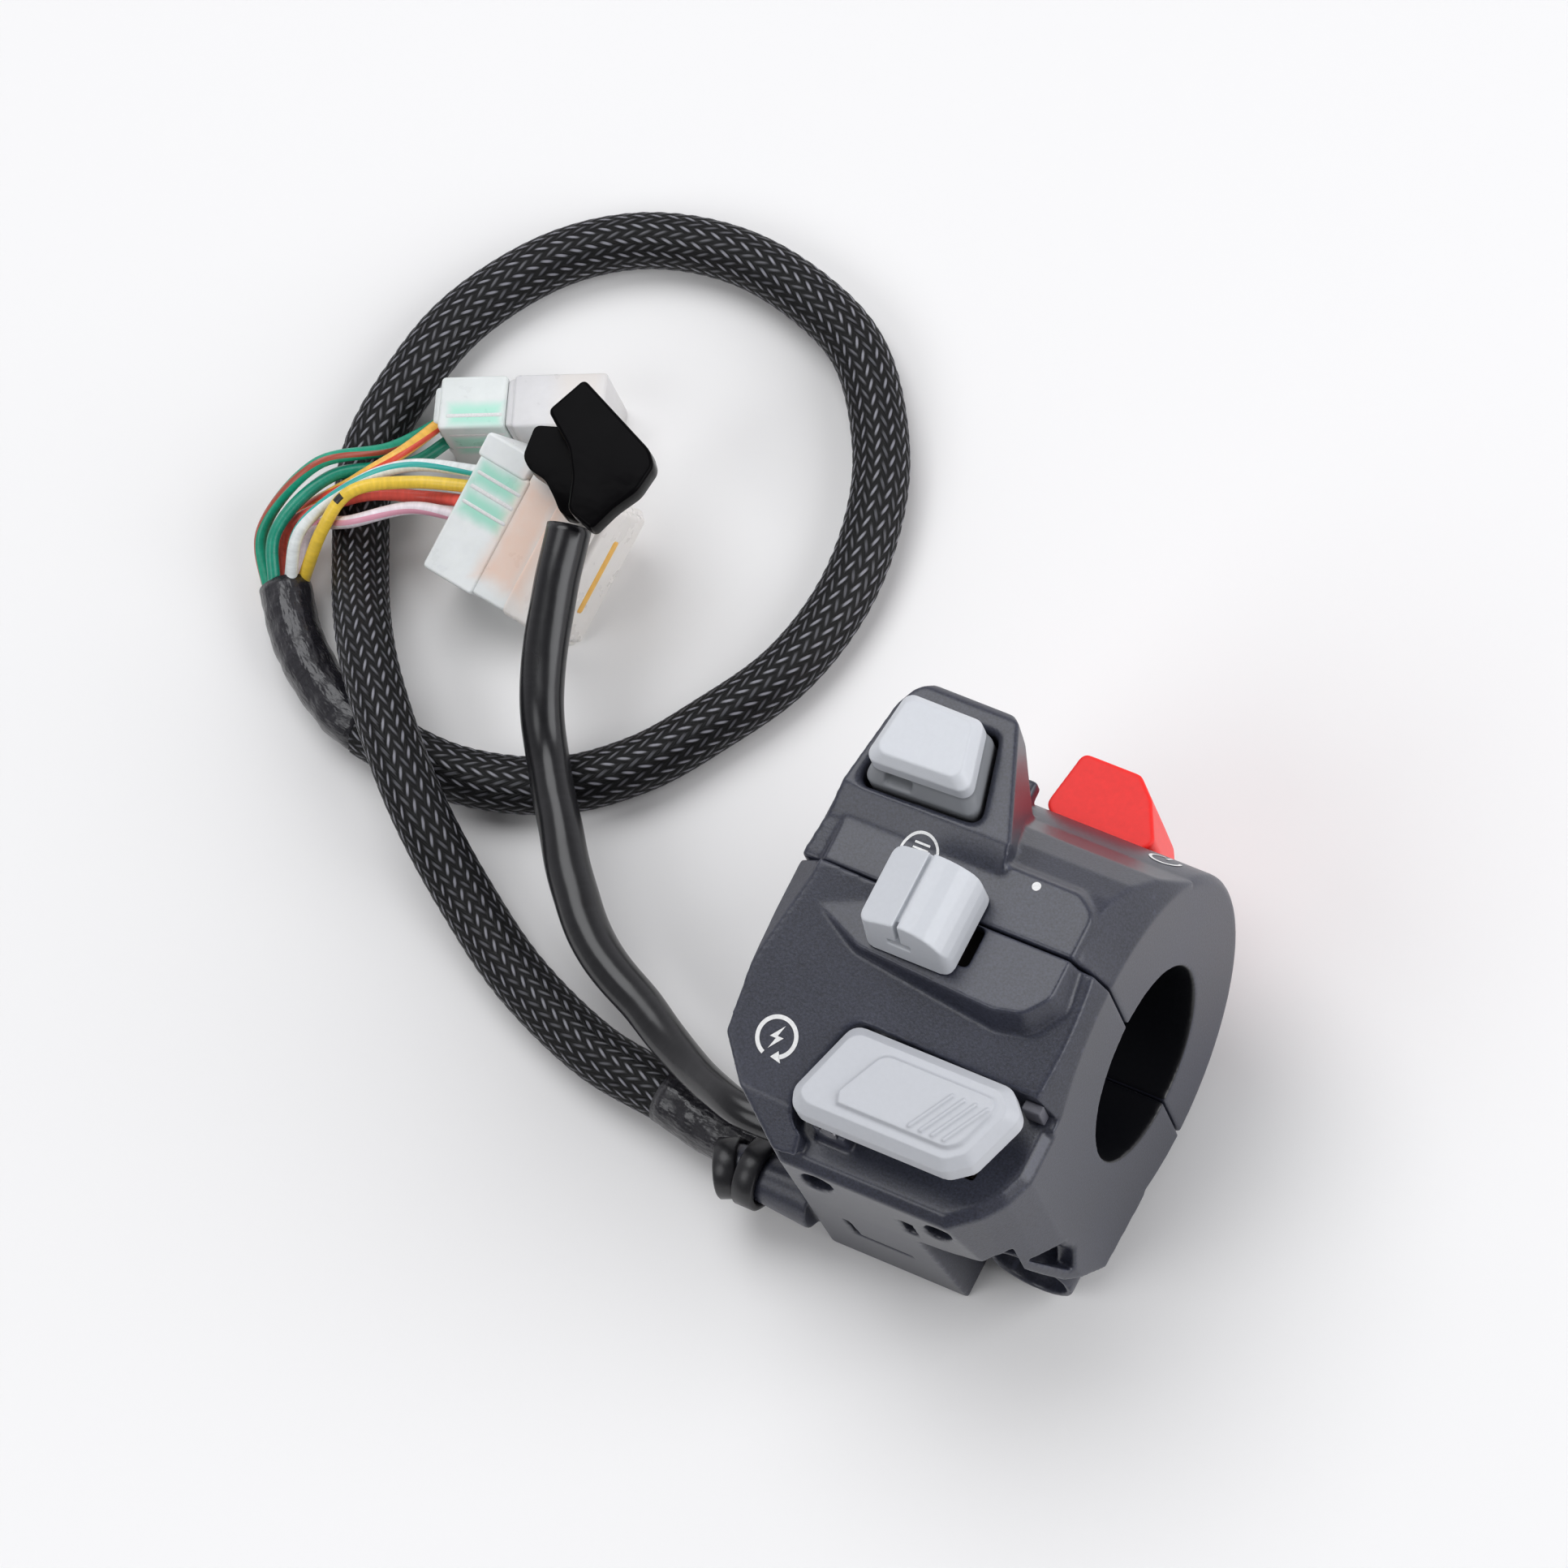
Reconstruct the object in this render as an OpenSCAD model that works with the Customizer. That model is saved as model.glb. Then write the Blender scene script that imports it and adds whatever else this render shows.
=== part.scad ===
// Handlebar switch cluster: a two-part case clamps on a round bar, with a top button, a sliding
// light switch, a starter paddle, a red stop rocker and a wiring harness.
// X runs along the bar, outboard positive. Y is up from the split. Z faces the rider.
// The origin is on the bar axis, at the outboard end face.

/* [Case] */
// Diameter of the bar bore
bore_d = 22.2; // [21.5:0.1:23]
// Length of the case along the bar
case_len = 37; // [36:0.5:42]
// Outer radius of the round case
case_r = 21.4; // [21:0.1:22.5]
// Open line between the two case parts
split_gap = 0.2; // [0.1:0.05:0.4]
// Height of the switch pad above the bar axis
pad_h = 26.4; // [25.5:0.1:27.2]
// Height of the tower face above the bar axis
tower_h = 28; // [27.5:0.1:30]
// Reach of the tower above the split
tower_reach = 22.4; // [22:0.1:24]
// Height of the thumb recess floor above the bar axis
recess_h = 16.8; // [16:0.1:18]
// Reach of the lower skirt below the split
skirt_reach = 29.2; // [28.8:0.1:31]
// Drop of the foot below the bar axis
foot_drop = 22.6; // [22:0.1:24]
// Wall of the case over the slider
skin_t = 2.4; // [1.8:0.1:3]

/* [Screws] */
// Diameter of the clamp screw thread
screw_d = 5; // [4:0.5:5]
// Diameter of the clamp screw head
screw_head_d = 8; // [7:0.5:8.5]
// Height of the clamp screw head
screw_head_t = 3; // [2.5:0.5:4]
// Wall of the screw boss round the head
boss_wall = 1; // [0.8:0.1:1.4]

/* [Top button] */
// Width of the button at its lower edge
button_w = 12.4; // [11:0.2:12.8]
// Length of the button across the tower
button_l = 8.6; // [7.6:0.2:9]
// Rise of the button above the tower face
button_rise = 5; // [3:0.5:6]
// Travel of the button
button_travel = 2; // [1:0.1:2.2]
// Clearance round the button
button_gap = 0.4; // [0.3:0.05:0.6]

/* [Light slider] */
// Width of the knob along the bar
light_w = 10.4; // [9:0.2:11]
// Length of the knob across the bar
light_l = 9; // [8:0.2:9.6]
// Height of the knob
light_rise = 6.6; // [5:0.2:8]
// Travel of the knob towards the outboard end
light_travel = 6.2; // [5:0.2:6.6]
// Width of the square stem
light_stem = 4; // [3:0.2:4.4]
// Running clearance of the slider
light_gap = 0.3; // [0.25:0.05:0.4]

/* [Starter] */
// Length of the paddle
paddle_len = 24; // [22:0.2:24.4]
// Width of the paddle
paddle_w = 11.2; // [10:0.2:11.4]
// Thickness of the paddle
paddle_t = 3.4; // [2.6:0.2:4]
// Height of the paddle's top over the recess floor
paddle_lift = 8.6; // [8.2:0.1:9.4]
// Gap round the paddle
paddle_gap = 0.7; // [0.5:0.05:0.9]
// Diameter of the hinge pins
pin_d = 2; // [1.6:0.1:2.2]
// Radial running fit on the hinge pins
pin_fit = 0.05; // [0.03:0.01:0.08]

/* [Stop rocker] */
// Width of the rocker at its foot
rocker_w = 13.2; // [12:0.2:14]
// Rise of the rocker above its pivot
rocker_rise = 10.2; // [8:0.2:11]
// Depth of the rocker along the rider direction
rocker_depth = 14.2; // [12:0.2:15]
// Gap between the rocker and its pocket
rocker_gap = 0.4; // [0.3:0.05:0.6]

/* [Harness] */
// Diameter of the braided sleeve
sleeve_d = 6.6; // [6:0.1:6.8]
// Diameter of the brake switch lead
lead_d = 4.9; // [4.5:0.1:5.6]
// Diameter of the taped bundle of wires
bundle_d = 6.2; // [6:0.1:6.6]
// Diameter of one wire
wire_d = 1.5; // [1.2:0.1:1.6]
// Thickness of the wrapped tape
tape_t = 0.2; // [0.1:0.05:0.3]
// Height of the wire connectors
plug_h = 10; // [9:0.2:11]

/* [Hidden] */
$fn = 64;

case_grey = [0.2, 0.2, 0.22];
key_grey = [0.74, 0.76, 0.77];
stop_red = [0.9, 0.13, 0.12];
black = [0.05, 0.05, 0.05];
brass = [0.8, 0.62, 0.3];
steel = [0.7, 0.7, 0.72];
board = [0.35, 0.25, 0.15];
milk = [0.9, 0.95, 0.92];
cream = [0.95, 0.91, 0.82];

bore_r = bore_d / 2;
mid_x = -case_len / 2;
seam = split_gap / 2;
far = 80;
cut = 0.5;

// Side clearance of a switch base in its pocket
base_fit = 0.1;

// Switch pad outlines, at its top and at its root
pad_right = -3.6;
pad_left = -case_len + 3.6;
pad_low = 8.1;
pad_high = 7;
pad_flare = 2.6;

// How far the tower's outboard side leans in
tower_draft = 2.1;

// Deck slopes in degrees, towards the outboard end, down to the rim, and at the rim
deck_end_slope = 5.7;
deck_slope = 12.4;
rim_slope = 36;
deck_h = pad_h - 3.9;
deck_y = -8;
rim_break = skirt_reach - 6.4;
rim_h = recess_h + 5.2;
rim_edge = 1.1;
end_bevel = 2.4;
crown_bevel = 1.35;

// Floor of the foot and the pocket for the rear screw boss
foot_end = mid_x + 4.9;
foot_draft = 3.6;
plate_t = 2.4;

// Clamp screws
rear_x = -6.5;
rear_z = -(bore_r + boss_wall + screw_head_d / 2 + 0.4);
rear_end = -(case_r + 0.6);
front_x = -case_len + 5.6;
front_z = case_r - 5.9;
front_end = -(skirt_reach - 5.2);
thread_end = 8.5;
boss_r = screw_head_d / 2 + boss_wall;
head_sink = 2.2;
screw_slack = 0.3;

// Top button
button_x = -case_len + 10.7;
button_y = tower_reach - 7.7;
button_top_in = 0.9;
button_neck_in = 0.2;
button_neck = 2;
button_flare = 0.5;
button_round = 1.2;
button_skirt = 3.2;
button_stem_w = 6;
button_stem_l = 4.4;
button_stem_t = 4.4;
button_foot = tower_h - button_skirt;
button_floor = button_foot - button_travel - button_gap;
button_stem_end = button_foot - button_stem_t;
button_room = 1;
button_base_t = 2.4;
button_base_top = button_stem_end - button_travel - button_room;
contact_t = 0.4;

// Light slider
light_x = mid_x - 1.1;
light_y = -1.3;
light_foot = pad_h + light_gap;
light_flare = 1;
light_round = 1.1;
light_stem_x = light_x - 2.4;
light_stem_y = -2.7;
carriage_w = 12.8;
carriage_l = 5;
carriage_x = light_stem_x + 2.2;
carriage_top = pad_h - skin_t - light_gap;
carriage_t = 4.2;
bridge_t = 1.9;
light_strip_t = 0.4;
light_base_t = 2;
light_strip_top = carriage_top - carriage_t - bridge_t - light_gap;
light_base_top = light_strip_top - light_strip_t;
light_pit = light_base_top - light_base_t;
light_room_x = carriage_x - carriage_w / 2 - light_gap;
light_room = carriage_w + light_travel + 2 * light_gap;
light_wall_y = light_stem_y - carriage_l / 2 - light_gap;
groove_x = -0.6;
groove_w = 0.5;
groove_deep = 0.8;
crown_w = 5;
crown_h = 4.6;

// Starter paddle
paddle_right = -1.2;
paddle_left = paddle_right - paddle_len;
paddle_low = -(skirt_reach - 3.4);
paddle_high = paddle_low + paddle_w;
paddle_nose = 2.4;
paddle_round = 1.8;
paddle_top = recess_h + paddle_lift;
paddle_under = paddle_top - paddle_t;
recess_high = paddle_high + paddle_gap;
strip_left = paddle_left - paddle_gap + 2.1;
hinge_r = pin_d / 2 + 0.9;
hinge_x = paddle_left + 4.2;
hinge_z = paddle_under - hinge_r - 0.1;
lug_t = 1.4;
lug_y = paddle_low + 0.2;
pin_seat = 1.4;
hinge_low = lug_y + lug_t + 0.4;
hinge_high = recess_high - 0.5;
push_x = paddle_right - 7.3;
push_y = paddle_low + paddle_w / 2;
push_w = 1.6;
push_l = 2;
push_room = 2.2;
push_end = recess_h - 2.2;
starter_base_t = 3;
starter_base_top = push_end - 2;
starter_pit = starter_base_top - starter_base_t;
starter_spring_x = paddle_right - 13;
spring_r = 1.6;
spring_wire = 0.5;
spring_gap = 0.05;

// Stop rocker
rocker_x = mid_x + 3.2;
rocker_y = case_r - 3.2;
rocker_front = 5;
rocker_back = rocker_front - rocker_depth;
rocker_barrel = 3.2;
rocker_reach = rocker_w / 2 + 1.6;
stop_pin_seat = 2.4;
stop_base_t = 1.2;
stop_floor = rocker_y - rocker_barrel - rocker_gap - stop_base_t;
stop_strip_t = 0.3;

// Harness: the surface that everything lies on, and the tail and strap at the case
ground = -foot_drop;
sleeve_r = sleeve_d / 2;
lead_r = lead_d / 2;
wire_r = wire_d / 2;
tape_r = sleeve_r + tape_t;
socket_slack = 0.3;
tail_y = -24;
tail_z = -14;
tail_tip = -case_len - 5;
tail_root = -case_len + 6;
tail_root_r = 3.4;
tail_tip_r = 2.4;
tie_x = -case_len - 3;
tie_w = 2.6;
tie_t = 0.9;
tie_snug = 0.2;

// One route for the near tape, the sleeve and the far tape, which meet end to end
harness_route = [[-31.5, -20, -18], [-43, -20, -18], [-49, -19.5, -18.5], [-54, -18.5, -18.5],
    [-64.5, -17, -19], [-76.5, -12.5, -19], [-86.5, -6.5, -17.5], [-94.5, -0.5, -13.5], [-102, 6.5, -12],
    [-110, 15, -13.5], [-117.5, 25, -18], [-123.5, 37.5, -19], [-123.5, 49.5, -19], [-121, 59, -19],
    [-114.5, 68.5, -19], [-105.5, 74.5, -19], [-94.5, 76.5, -19], [-83.5, 74.5, -19], [-75, 70, -19],
    [-68, 61, -19], [-64.5, 52, -19], [-63.5, 42, -19], [-65.5, 32, -19], [-70.5, 23, -19],
    [-76, 15.5, -19], [-84, 9.5, -19], [-95.5, 6.5, -19], [-107.5, 7.5, -19], [-112.5, 9, -19],
    [-119.5, 13.5, -19], [-125, 19.5, -19]];
tape_end = 3;
bundle_start = len(harness_route) - 4;
bundle_end = len(harness_route) - 1;
lead_route = [[-33, -20, -6], [-41, -20, -6], [-50.5, -16.5, -10], [-59, -12, -12], [-67, -8, -12.5],
    [-73, -2.5, -12.5], [-78, 3.5, -12.5], [-83, 10, -12.5], [-86.5, 16, -10.5], [-88.5, 21.5, -9],
    [-90, 27.5, -7.5], [-91.5, 34.5, -6]];
lead_tip = lead_route[len(lead_route) - 1];

// Wires leave the bundle in a ring round a middle one, pass over the sleeve and enter the two plugs.
// A spot is a place in that ring, and an entry is the distance across the plug and up it.
wire_spots = [0, 1, 5, -1, 2, 3, 4];
wire_bows = [[[-129.8, 24.2, -16.6], [-125.8, 32.4, -12.2], [-119.8, 38.6, -15.2]],
    [[-127.2, 24.2, -14.4], [-124.2, 32.4, -14], [-117.4, 37.6, -16]],
    [[-128, 26.6, -18.6], [-120.8, 32.8, -13.2], [-117, 38, -12.6]],
    [[-127.2, 25.2, -16.6], [-120, 31.2, -13.8], [-113.2, 34.4, -15]],
    [[-124, 25, -13.2], [-120.2, 31.8, -12], [-115.2, 36.6, -12.4]],
    [[-121.4, 25.8, -12.8], [-119.4, 30.6, -10.6], [-114, 34.6, -12]],
    [[-125.4, 26.6, -18.4], [-118.2, 27.8, -12.2], [-113, 32, -13]]];
wire_entries = [[4.4, 4.6], [1.4, 4.6], [3, 7], [8.9, 7], [12.7, 7], [10.8, 7], [7, 7]];
wire_spread = 1.9;
wire_seat = 0.5;
wire_colours = ["seagreen", "mediumseagreen", "orange", "crimson", "lightblue", "gold", "plum"];

// Connectors: near corner on the ground, turn about it, lean against the other one, length and width
upper_corner = [-114.8, 41.8, ground];
upper_turn = 23;
upper_size = [19.6, 6.6];
lower_corner = [-108, 29.5, ground];
lower_turn = -9;
lower_lean = 20;
lower_size = [18, 17.2];
upper_wires = 3;
plug_share = 0.4;

// Boots: height of the lower one, thickness of both and the step between them
boot_low = -7.2;
small_boot_t = 3.4;
large_boot_t = 3.8;
boot_step = small_boot_t + 0.2;

function unit(v) = v / norm(v);

// Rounds the corners of a flat outline without hollows, whose points run anticlockwise, and widens it
function outward(a, b) = unit([b[1] - a[1], a[0] - b[0]]);
function rounded(points, r, grow = 0) =
    let (count = len(points))
    [for (i = [0 : count - 1])
        let (before = outward(points[(i + count - 1) % count], points[i]),
            after = outward(points[i], points[(i + 1) % count]),
            centre = points[i] + (grow - r) * (before + after) / (1 + before * after),
            start = atan2(before[1], before[0]),
            sweep = acos(min(1, before * after)),
            steps = ceil(sweep / 15))
        for (k = [0 : steps])
            centre + r * [cos(start + sweep * k / steps), sin(start + sweep * k / steps)]];

// Draws a flat outline, whose points are (y, z), as a bar along X
module along_x(start, length) {
    translate([start, 0, 0]) rotate([90, 0, 90]) linear_extrude(length) children();
}

// Draws a flat outline, whose points are (x, z), as a bar along Y that starts at its high end
module along_y(high, length) {
    translate([0, high, 0]) rotate([90, 0, 0]) linear_extrude(length) children();
}

module rod_x(start, length, r) {
    translate([start, 0, 0]) rotate([0, 90, 0]) cylinder(r = r, h = length);
}

module rod_y(start, length, r) {
    translate([0, start, 0]) rotate([-90, 0, 0]) cylinder(r = r, h = length);
}

// Round case with a small bevel at both ends
module round_case() {
    edge = 0.7;
    rod_x(-case_len + edge, case_len - 2 * edge, case_r);
    translate([-edge, 0, 0]) rotate([0, 90, 0]) cylinder(r1 = case_r, r2 = case_r - edge, h = edge);
    translate([-case_len, 0, 0]) rotate([0, 90, 0]) cylinder(r1 = case_r - edge, r2 = case_r, h = edge);
}

// Space inside a cone that opens away from the outboard end face
module end_cone(slope) {
    reach = 12;
    translate([-reach, 0, 0]) rotate([0, 90, 0])
        cylinder(r1 = case_r + reach * slope, r2 = case_r, h = reach);
    rod_x(-case_len - 1, case_len + 1 - reach, far);
}

// Space under a bevel along the inboard edge of the rider face
module inboard_bevel() {
    along_y(far, 2 * far) polygon([[-case_len, -far], [-case_len, pad_h - 2.6], [pad_left, pad_h + 0.6],
        [pad_left, far], [far, far], [far, -far]]);
}

// Raised pad round the light slider, with sloping sides
module switch_pad() {
    slab = 0.01;
    corner = 2;
    low_side = [[pad_left, -pad_low + 4.4], [pad_left + 8, -pad_low + 0.9], [mid_x + 9.5, -pad_low],
        [pad_right - 2, -pad_low + 0.8], [pad_right, -pad_low + 3.4]];
    high_side = [[pad_right, pad_high - 1.6], [pad_right - 2.4, pad_high], [pad_left, pad_high]];
    root_low = [[pad_left - 3, -pad_low + 2.6], [pad_left + 6.6, -pad_low - 1.2],
        [mid_x + 10, -pad_low - 2.1], [pad_right - 0.6, -pad_low - 1],
        [pad_right + pad_flare, -pad_low + 3.4]];
    root_high = [[pad_right + pad_flare, pad_high], [pad_right - 2, pad_high + 3.6],
        [pad_left - 3, pad_high + 3]];
    hull() {
        translate([0, 0, pad_h - slab]) linear_extrude(slab)
            polygon(rounded(concat(low_side, high_side), corner));
        translate([0, 0, pad_h - 6]) linear_extrude(slab)
            polygon(rounded(concat(root_low, root_high), corner));
    }
}

// Shoulder from the pad over to the round of the upper case
module crown() {
    intersection() {
        along_x(-case_len + 0.8, case_len - 0.8) polygon([[0, 8], [0, pad_h - 1], [5, pad_h - 0.6],
            [8, pad_h - 1.8], [11, pad_h - 4], [14, pad_h - 7.6], [16.8, 13.2], [9, 8]]);
        end_cone(crown_bevel);
        inboard_bevel();
    }
}

// Tower seen from the rider, with its outboard side drawn in
function tower_plan(draft) = [[-case_len + 0.7, 0], [mid_x + 4.6 - draft, 0], [mid_x + 4.6 - draft, 3],
    [mid_x + 3.6 - draft, 9], [-case_len + 16.8 - draft, tower_reach - 1],
    [-case_len + 15.6 - draft, tower_reach], [-case_len + 6, tower_reach],
    [-case_len + 4.4, tower_reach - 1.6], [-case_len + 3.4, tower_reach - 3.8], [-case_len + 1.3, 4]];

// Tower whose outboard side leans in behind the face
module tower() {
    back = 4.4;
    slab = 0.01;
    intersection() {
        along_x(-case_len, case_len) polygon([[0, 8], [0, pad_h - 1], [5.2, pad_h - 0.2],
            [8.6, tower_h], [tower_reach - 0.9, tower_h], [tower_reach, tower_h - 0.9],
            [tower_reach, tower_h - back], [17.2, 13], [9, 8]]);
        hull() {
            translate([0, 0, tower_h]) linear_extrude(slab) polygon(tower_plan(0));
            linear_extrude(slab) polygon(tower_plan(tower_draft));
        }
    }
}

// Cap outline, narrower along its upper edge; grow widens it all round
module button_plan(grow) {
    half = button_w / 2;
    reach = button_l / 2;
    outline = [[-half, -reach], [half, -reach + 0.5], [half - 2.2, reach], [-half + 1, reach]];
    translate([button_x, button_y]) polygon(rounded(outline, button_round, grow));
}

// Skirt outline, which stands out in front of the cap
module button_skirt_plan(grow) {
    translate([0, -button_flare]) button_plan(button_flare + grow);
}

module button_well() {
    bezel = 0.35;
    translate([0, 0, button_floor]) linear_extrude(far) button_skirt_plan(button_gap);
    translate([0, 0, tower_h - bezel]) linear_extrude(far) button_skirt_plan(button_gap + bezel);
    translate([button_x, button_y, button_base_top - button_base_t]) linear_extrude(far)
        square([button_stem_w + 2 * button_gap, button_stem_l + 2 * button_gap], center = true);
}

module stop_pocket() {
    translate([rocker_x - rocker_reach, stop_floor, rocker_back - rocker_gap])
        cube([2 * rocker_reach, far, rocker_depth + 2 * rocker_gap]);
    translate([rocker_x, rocker_y, rocker_back - rocker_gap - stop_pin_seat])
        cylinder(d = pin_d, h = rocker_depth + 2 * rocker_gap + 2 * stop_pin_seat);
}

module bar_bore() {
    rod_x(-case_len - 1, case_len + 2, bore_r);
}

module screw_pilots() {
    translate([rear_x, 0, rear_z]) rod_y(-1, thread_end + 1, screw_d / 2);
    translate([front_x, 0, front_z]) rod_y(-1, thread_end + 1, screw_d / 2);
}

// Small block between the tower and the rocker
module nub() {
    size = [2, 3, 2.2];
    translate([rocker_x - 8.1, case_r - size[1], 9.2]) cube(size);
}

module upper_case() {
    color(case_grey) difference() {
        intersection() {
            union() {
                round_case();
                switch_pad();
                crown();
                tower();
                nub();
            }
            translate([-far, seam, -far]) cube(2 * far);
        }
        bar_bore();
        button_well();
        stop_pocket();
        screw_pilots();
    }
}

// Lower outline seen from the rider, with cut corners
skirt_plan = [[0, 0], [0, -21], [-1.2, -skirt_reach + 5], [-3, -skirt_reach + 2.6],
    [-6.2, -skirt_reach], [-case_len + 11, -skirt_reach], [-case_len + 5.2, -skirt_reach + 4.6],
    [-case_len + 1.7, -20.2], [-case_len + 0.8, -6], [-case_len + 0.7, 0]];

// Deck, skirt, foot and end plate as sections along the bar
module lower_block() {
    lean = 1.6;
    arch = 5;
    lip = 1.2;
    difference() {
        intersection() {
            union() {
                along_x(-case_len, case_len) polygon([[0, 0], [0, far], [-skirt_reach, far],
                    [-skirt_reach, recess_h - rim_edge], [-skirt_reach + lean, 0]]);
                along_x(-case_len, case_len + foot_end) polygon([[-8, cut], [-skirt_reach + lean, cut],
                    [-skirt_reach + lean, 0], [-skirt_reach + foot_draft, -foot_drop],
                    [-12, -foot_drop], [-8, -12]]);
                along_x(-plate_t, plate_t) polygon([[-8, cut], [-skirt_reach + 3, cut],
                    [-skirt_reach + 6.6, -case_r / 2], [-skirt_reach + 11.7, -case_r + 2.4],
                    [-8, -case_r + 1.6]]);
            }
            translate([0, 0, -far]) linear_extrude(2 * far) polygon(skirt_plan);
        }
        along_y(-case_r, far) polygon([[foot_end, -cut], [foot_end, 0], [-8.3, arch * 0.4], [-3.6, arch],
            [-plate_t, arch], [-plate_t, -cut]]);
        along_x(-plate_t - cut, plate_t + 2 * cut) polygon([[-skirt_reach + 3 + lip, cut],
            [-skirt_reach + 10.3, -case_r * 0.2], [-skirt_reach + 7.9, -case_r * 0.48],
            [-skirt_reach + 6 + lip, -case_r * 0.4]]);
    }
}

// Everything above the sloping deck and its steeper edge
module above_deck() {
    translate([0, deck_y, deck_h]) rotate([deck_slope, deck_end_slope, 0])
        translate([-far, -far, 0]) cube(2 * far);
    translate([mid_x, -rim_break, rim_h]) rotate([rim_slope, deck_end_slope, 0])
        translate([-far, -far, 0]) cube(2 * far);
}

// Thumb recess under the paddle, open at the outboard end
module thumb_recess() {
    translate([0, 0, recess_h]) linear_extrude(far) paddle_plan(paddle_gap);
    translate([paddle_right - paddle_nose, paddle_low - paddle_gap, recess_h])
        cube([far, recess_high - paddle_low + paddle_gap, far]);
    translate([strip_left, -far, recess_h]) cube([far, far + recess_high - 3, far]);
}

// Bevels along the rim of the skirt, from the end plate round to the inboard end of the long side
module rim_bevels() {
    side = rim_edge * sqrt(2);
    stagger = 0.06;
    rim = concat([[0, recess_high - 2]], [for (i = [1 : 5]) skirt_plan[i]]);
    for (i = [1 : len(rim) - 1]) {
        edge = rim[i - 1] - rim[i];
        translate([rim[i][0], rim[i][1], recess_h - rim_edge - stagger * (i % 2)])
            rotate([45, 0, atan2(edge[1], edge[0])]) translate([-cut, -side, 0])
                cube([norm(edge) + 2 * cut, 2 * side + cut, 2 * side]);
    }
}

module light_pocket() {
    side = light_stem + 2 * light_gap;
    translate([light_room_x, light_wall_y, light_pit])
        cube([light_room, -light_wall_y, pad_h - skin_t - light_pit]);
    translate([light_stem_x - side / 2, light_stem_y - side / 2, light_pit])
        cube([side + light_travel, side, far]);
}

module starter_pocket() {
    translate([push_x, push_y, starter_pit]) linear_extrude(far)
        square([push_w + 2 * push_room, push_l + 2 * push_room], center = true);
}

module screw_ways() {
    slack_r = screw_d / 2 + screw_slack;
    head_r = screw_head_d / 2 + screw_slack;
    translate([rear_x, 0, rear_z]) rod_y(-far, far, slack_r);
    translate([rear_x, 0, rear_z]) rod_y(rear_end - cut, head_sink + screw_head_t + cut, head_r);
    translate([front_x, 0, front_z]) rod_y(-far, far, slack_r);
    translate([front_x, 0, front_z]) rod_y(-far, far + front_end + head_sink + screw_head_t, head_r);
}

module harness_holes() {
    near = harness_route[0];
    translate([0, near[1], near[2]]) rod_x(-far, far + near[0], tape_r + socket_slack);
    lead = lead_route[0];
    translate([0, lead[1], lead[2]]) rod_x(-far, far + lead[0], lead_r + socket_slack);
}

// Drain and tool holes in the bottom wall, with a fine angled line
module wall_marks() {
    deep = 4;
    hole_z = 10.8;
    across = [1.4, -0.8];
    along = [1.4, 3.4];
    line_t = 0.7;
    line_low = -11.6;
    along_y(-skirt_reach + deep, deep + 1) {
        for (hole = [[mid_x - 4.5, 1.15], [mid_x + 10.1, 1]])
            polygon([for (turn = [0 : 15 : 345])
                [hole[0], hole_z] + hole[1] * (across * cos(turn) + along * sin(turn))]);
        polygon([[mid_x + 4.3, 3.4], [mid_x + 5.8, 3.5], [mid_x + 6.5, 9.5], [mid_x + 4.9, 9.2]]);
        translate([mid_x - 6.1, line_low]) square([line_t, 6.2]);
        translate([mid_x - 6.1, line_low]) square([7.2, line_t]);
    }
}

module starter_lug() {
    width = 4;
    height = hinge_z + hinge_r - 0.4 - recess_h;
    translate([hinge_x - width / 2, lug_y, recess_h]) cube([width, lug_t, height]);
}

module tail() {
    translate([tail_tip, tail_y, tail_z]) rotate([0, 90, 0])
        cylinder(r1 = tail_tip_r, r2 = tail_root_r, h = tail_root - tail_tip);
}

module lower_case() {
    color(case_grey) difference() {
        union() {
            intersection() {
                union() {
                    round_case();
                    switch_pad();
                    difference() {
                        intersection() {
                            lower_block();
                            inboard_bevel();
                            union() {
                                end_cone(end_bevel);
                                translate([-far, -far, -far]) cube([2 * far, 2 * far, far + recess_h]);
                            }
                        }
                        above_deck();
                        rim_bevels();
                    }
                    translate([rear_x, 0, rear_z]) rod_y(rear_end, -rear_end, boss_r);
                }
                translate([-far, -far - seam, -far]) cube([2 * far, far, 2 * far]);
            }
            tail();
        }
        difference() {
            thumb_recess();
            starter_lug();
        }
        bar_bore();
        light_pocket();
        starter_pocket();
        screw_ways();
        harness_holes();
        wall_marks();
        translate([hinge_x, 0, hinge_z]) rod_y(lug_y, recess_high + pin_seat - lug_y, pin_d / 2);
    }
}

// Clamp screw along Y, with its head at the low end and a cross slot
module clamp_screw(x, z, low_end) {
    start = low_end + head_sink;
    slot = 1.2;
    color(steel) translate([x, 0, z]) difference() {
        union() {
            rod_y(start, screw_head_t, screw_head_d / 2);
            rod_y(start + screw_head_t, thread_end - start - screw_head_t, screw_d / 2);
        }
        for (turn = [0, 90])
            rotate([0, turn, 0]) translate([0, start, 0])
                cube([screw_head_d * 0.6, 2 * slot, slot], center = true);
    }
}

module rear_screw() { clamp_screw(rear_x, rear_z, rear_end); }
module front_screw() { clamp_screw(front_x, front_z, front_end); }

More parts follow.
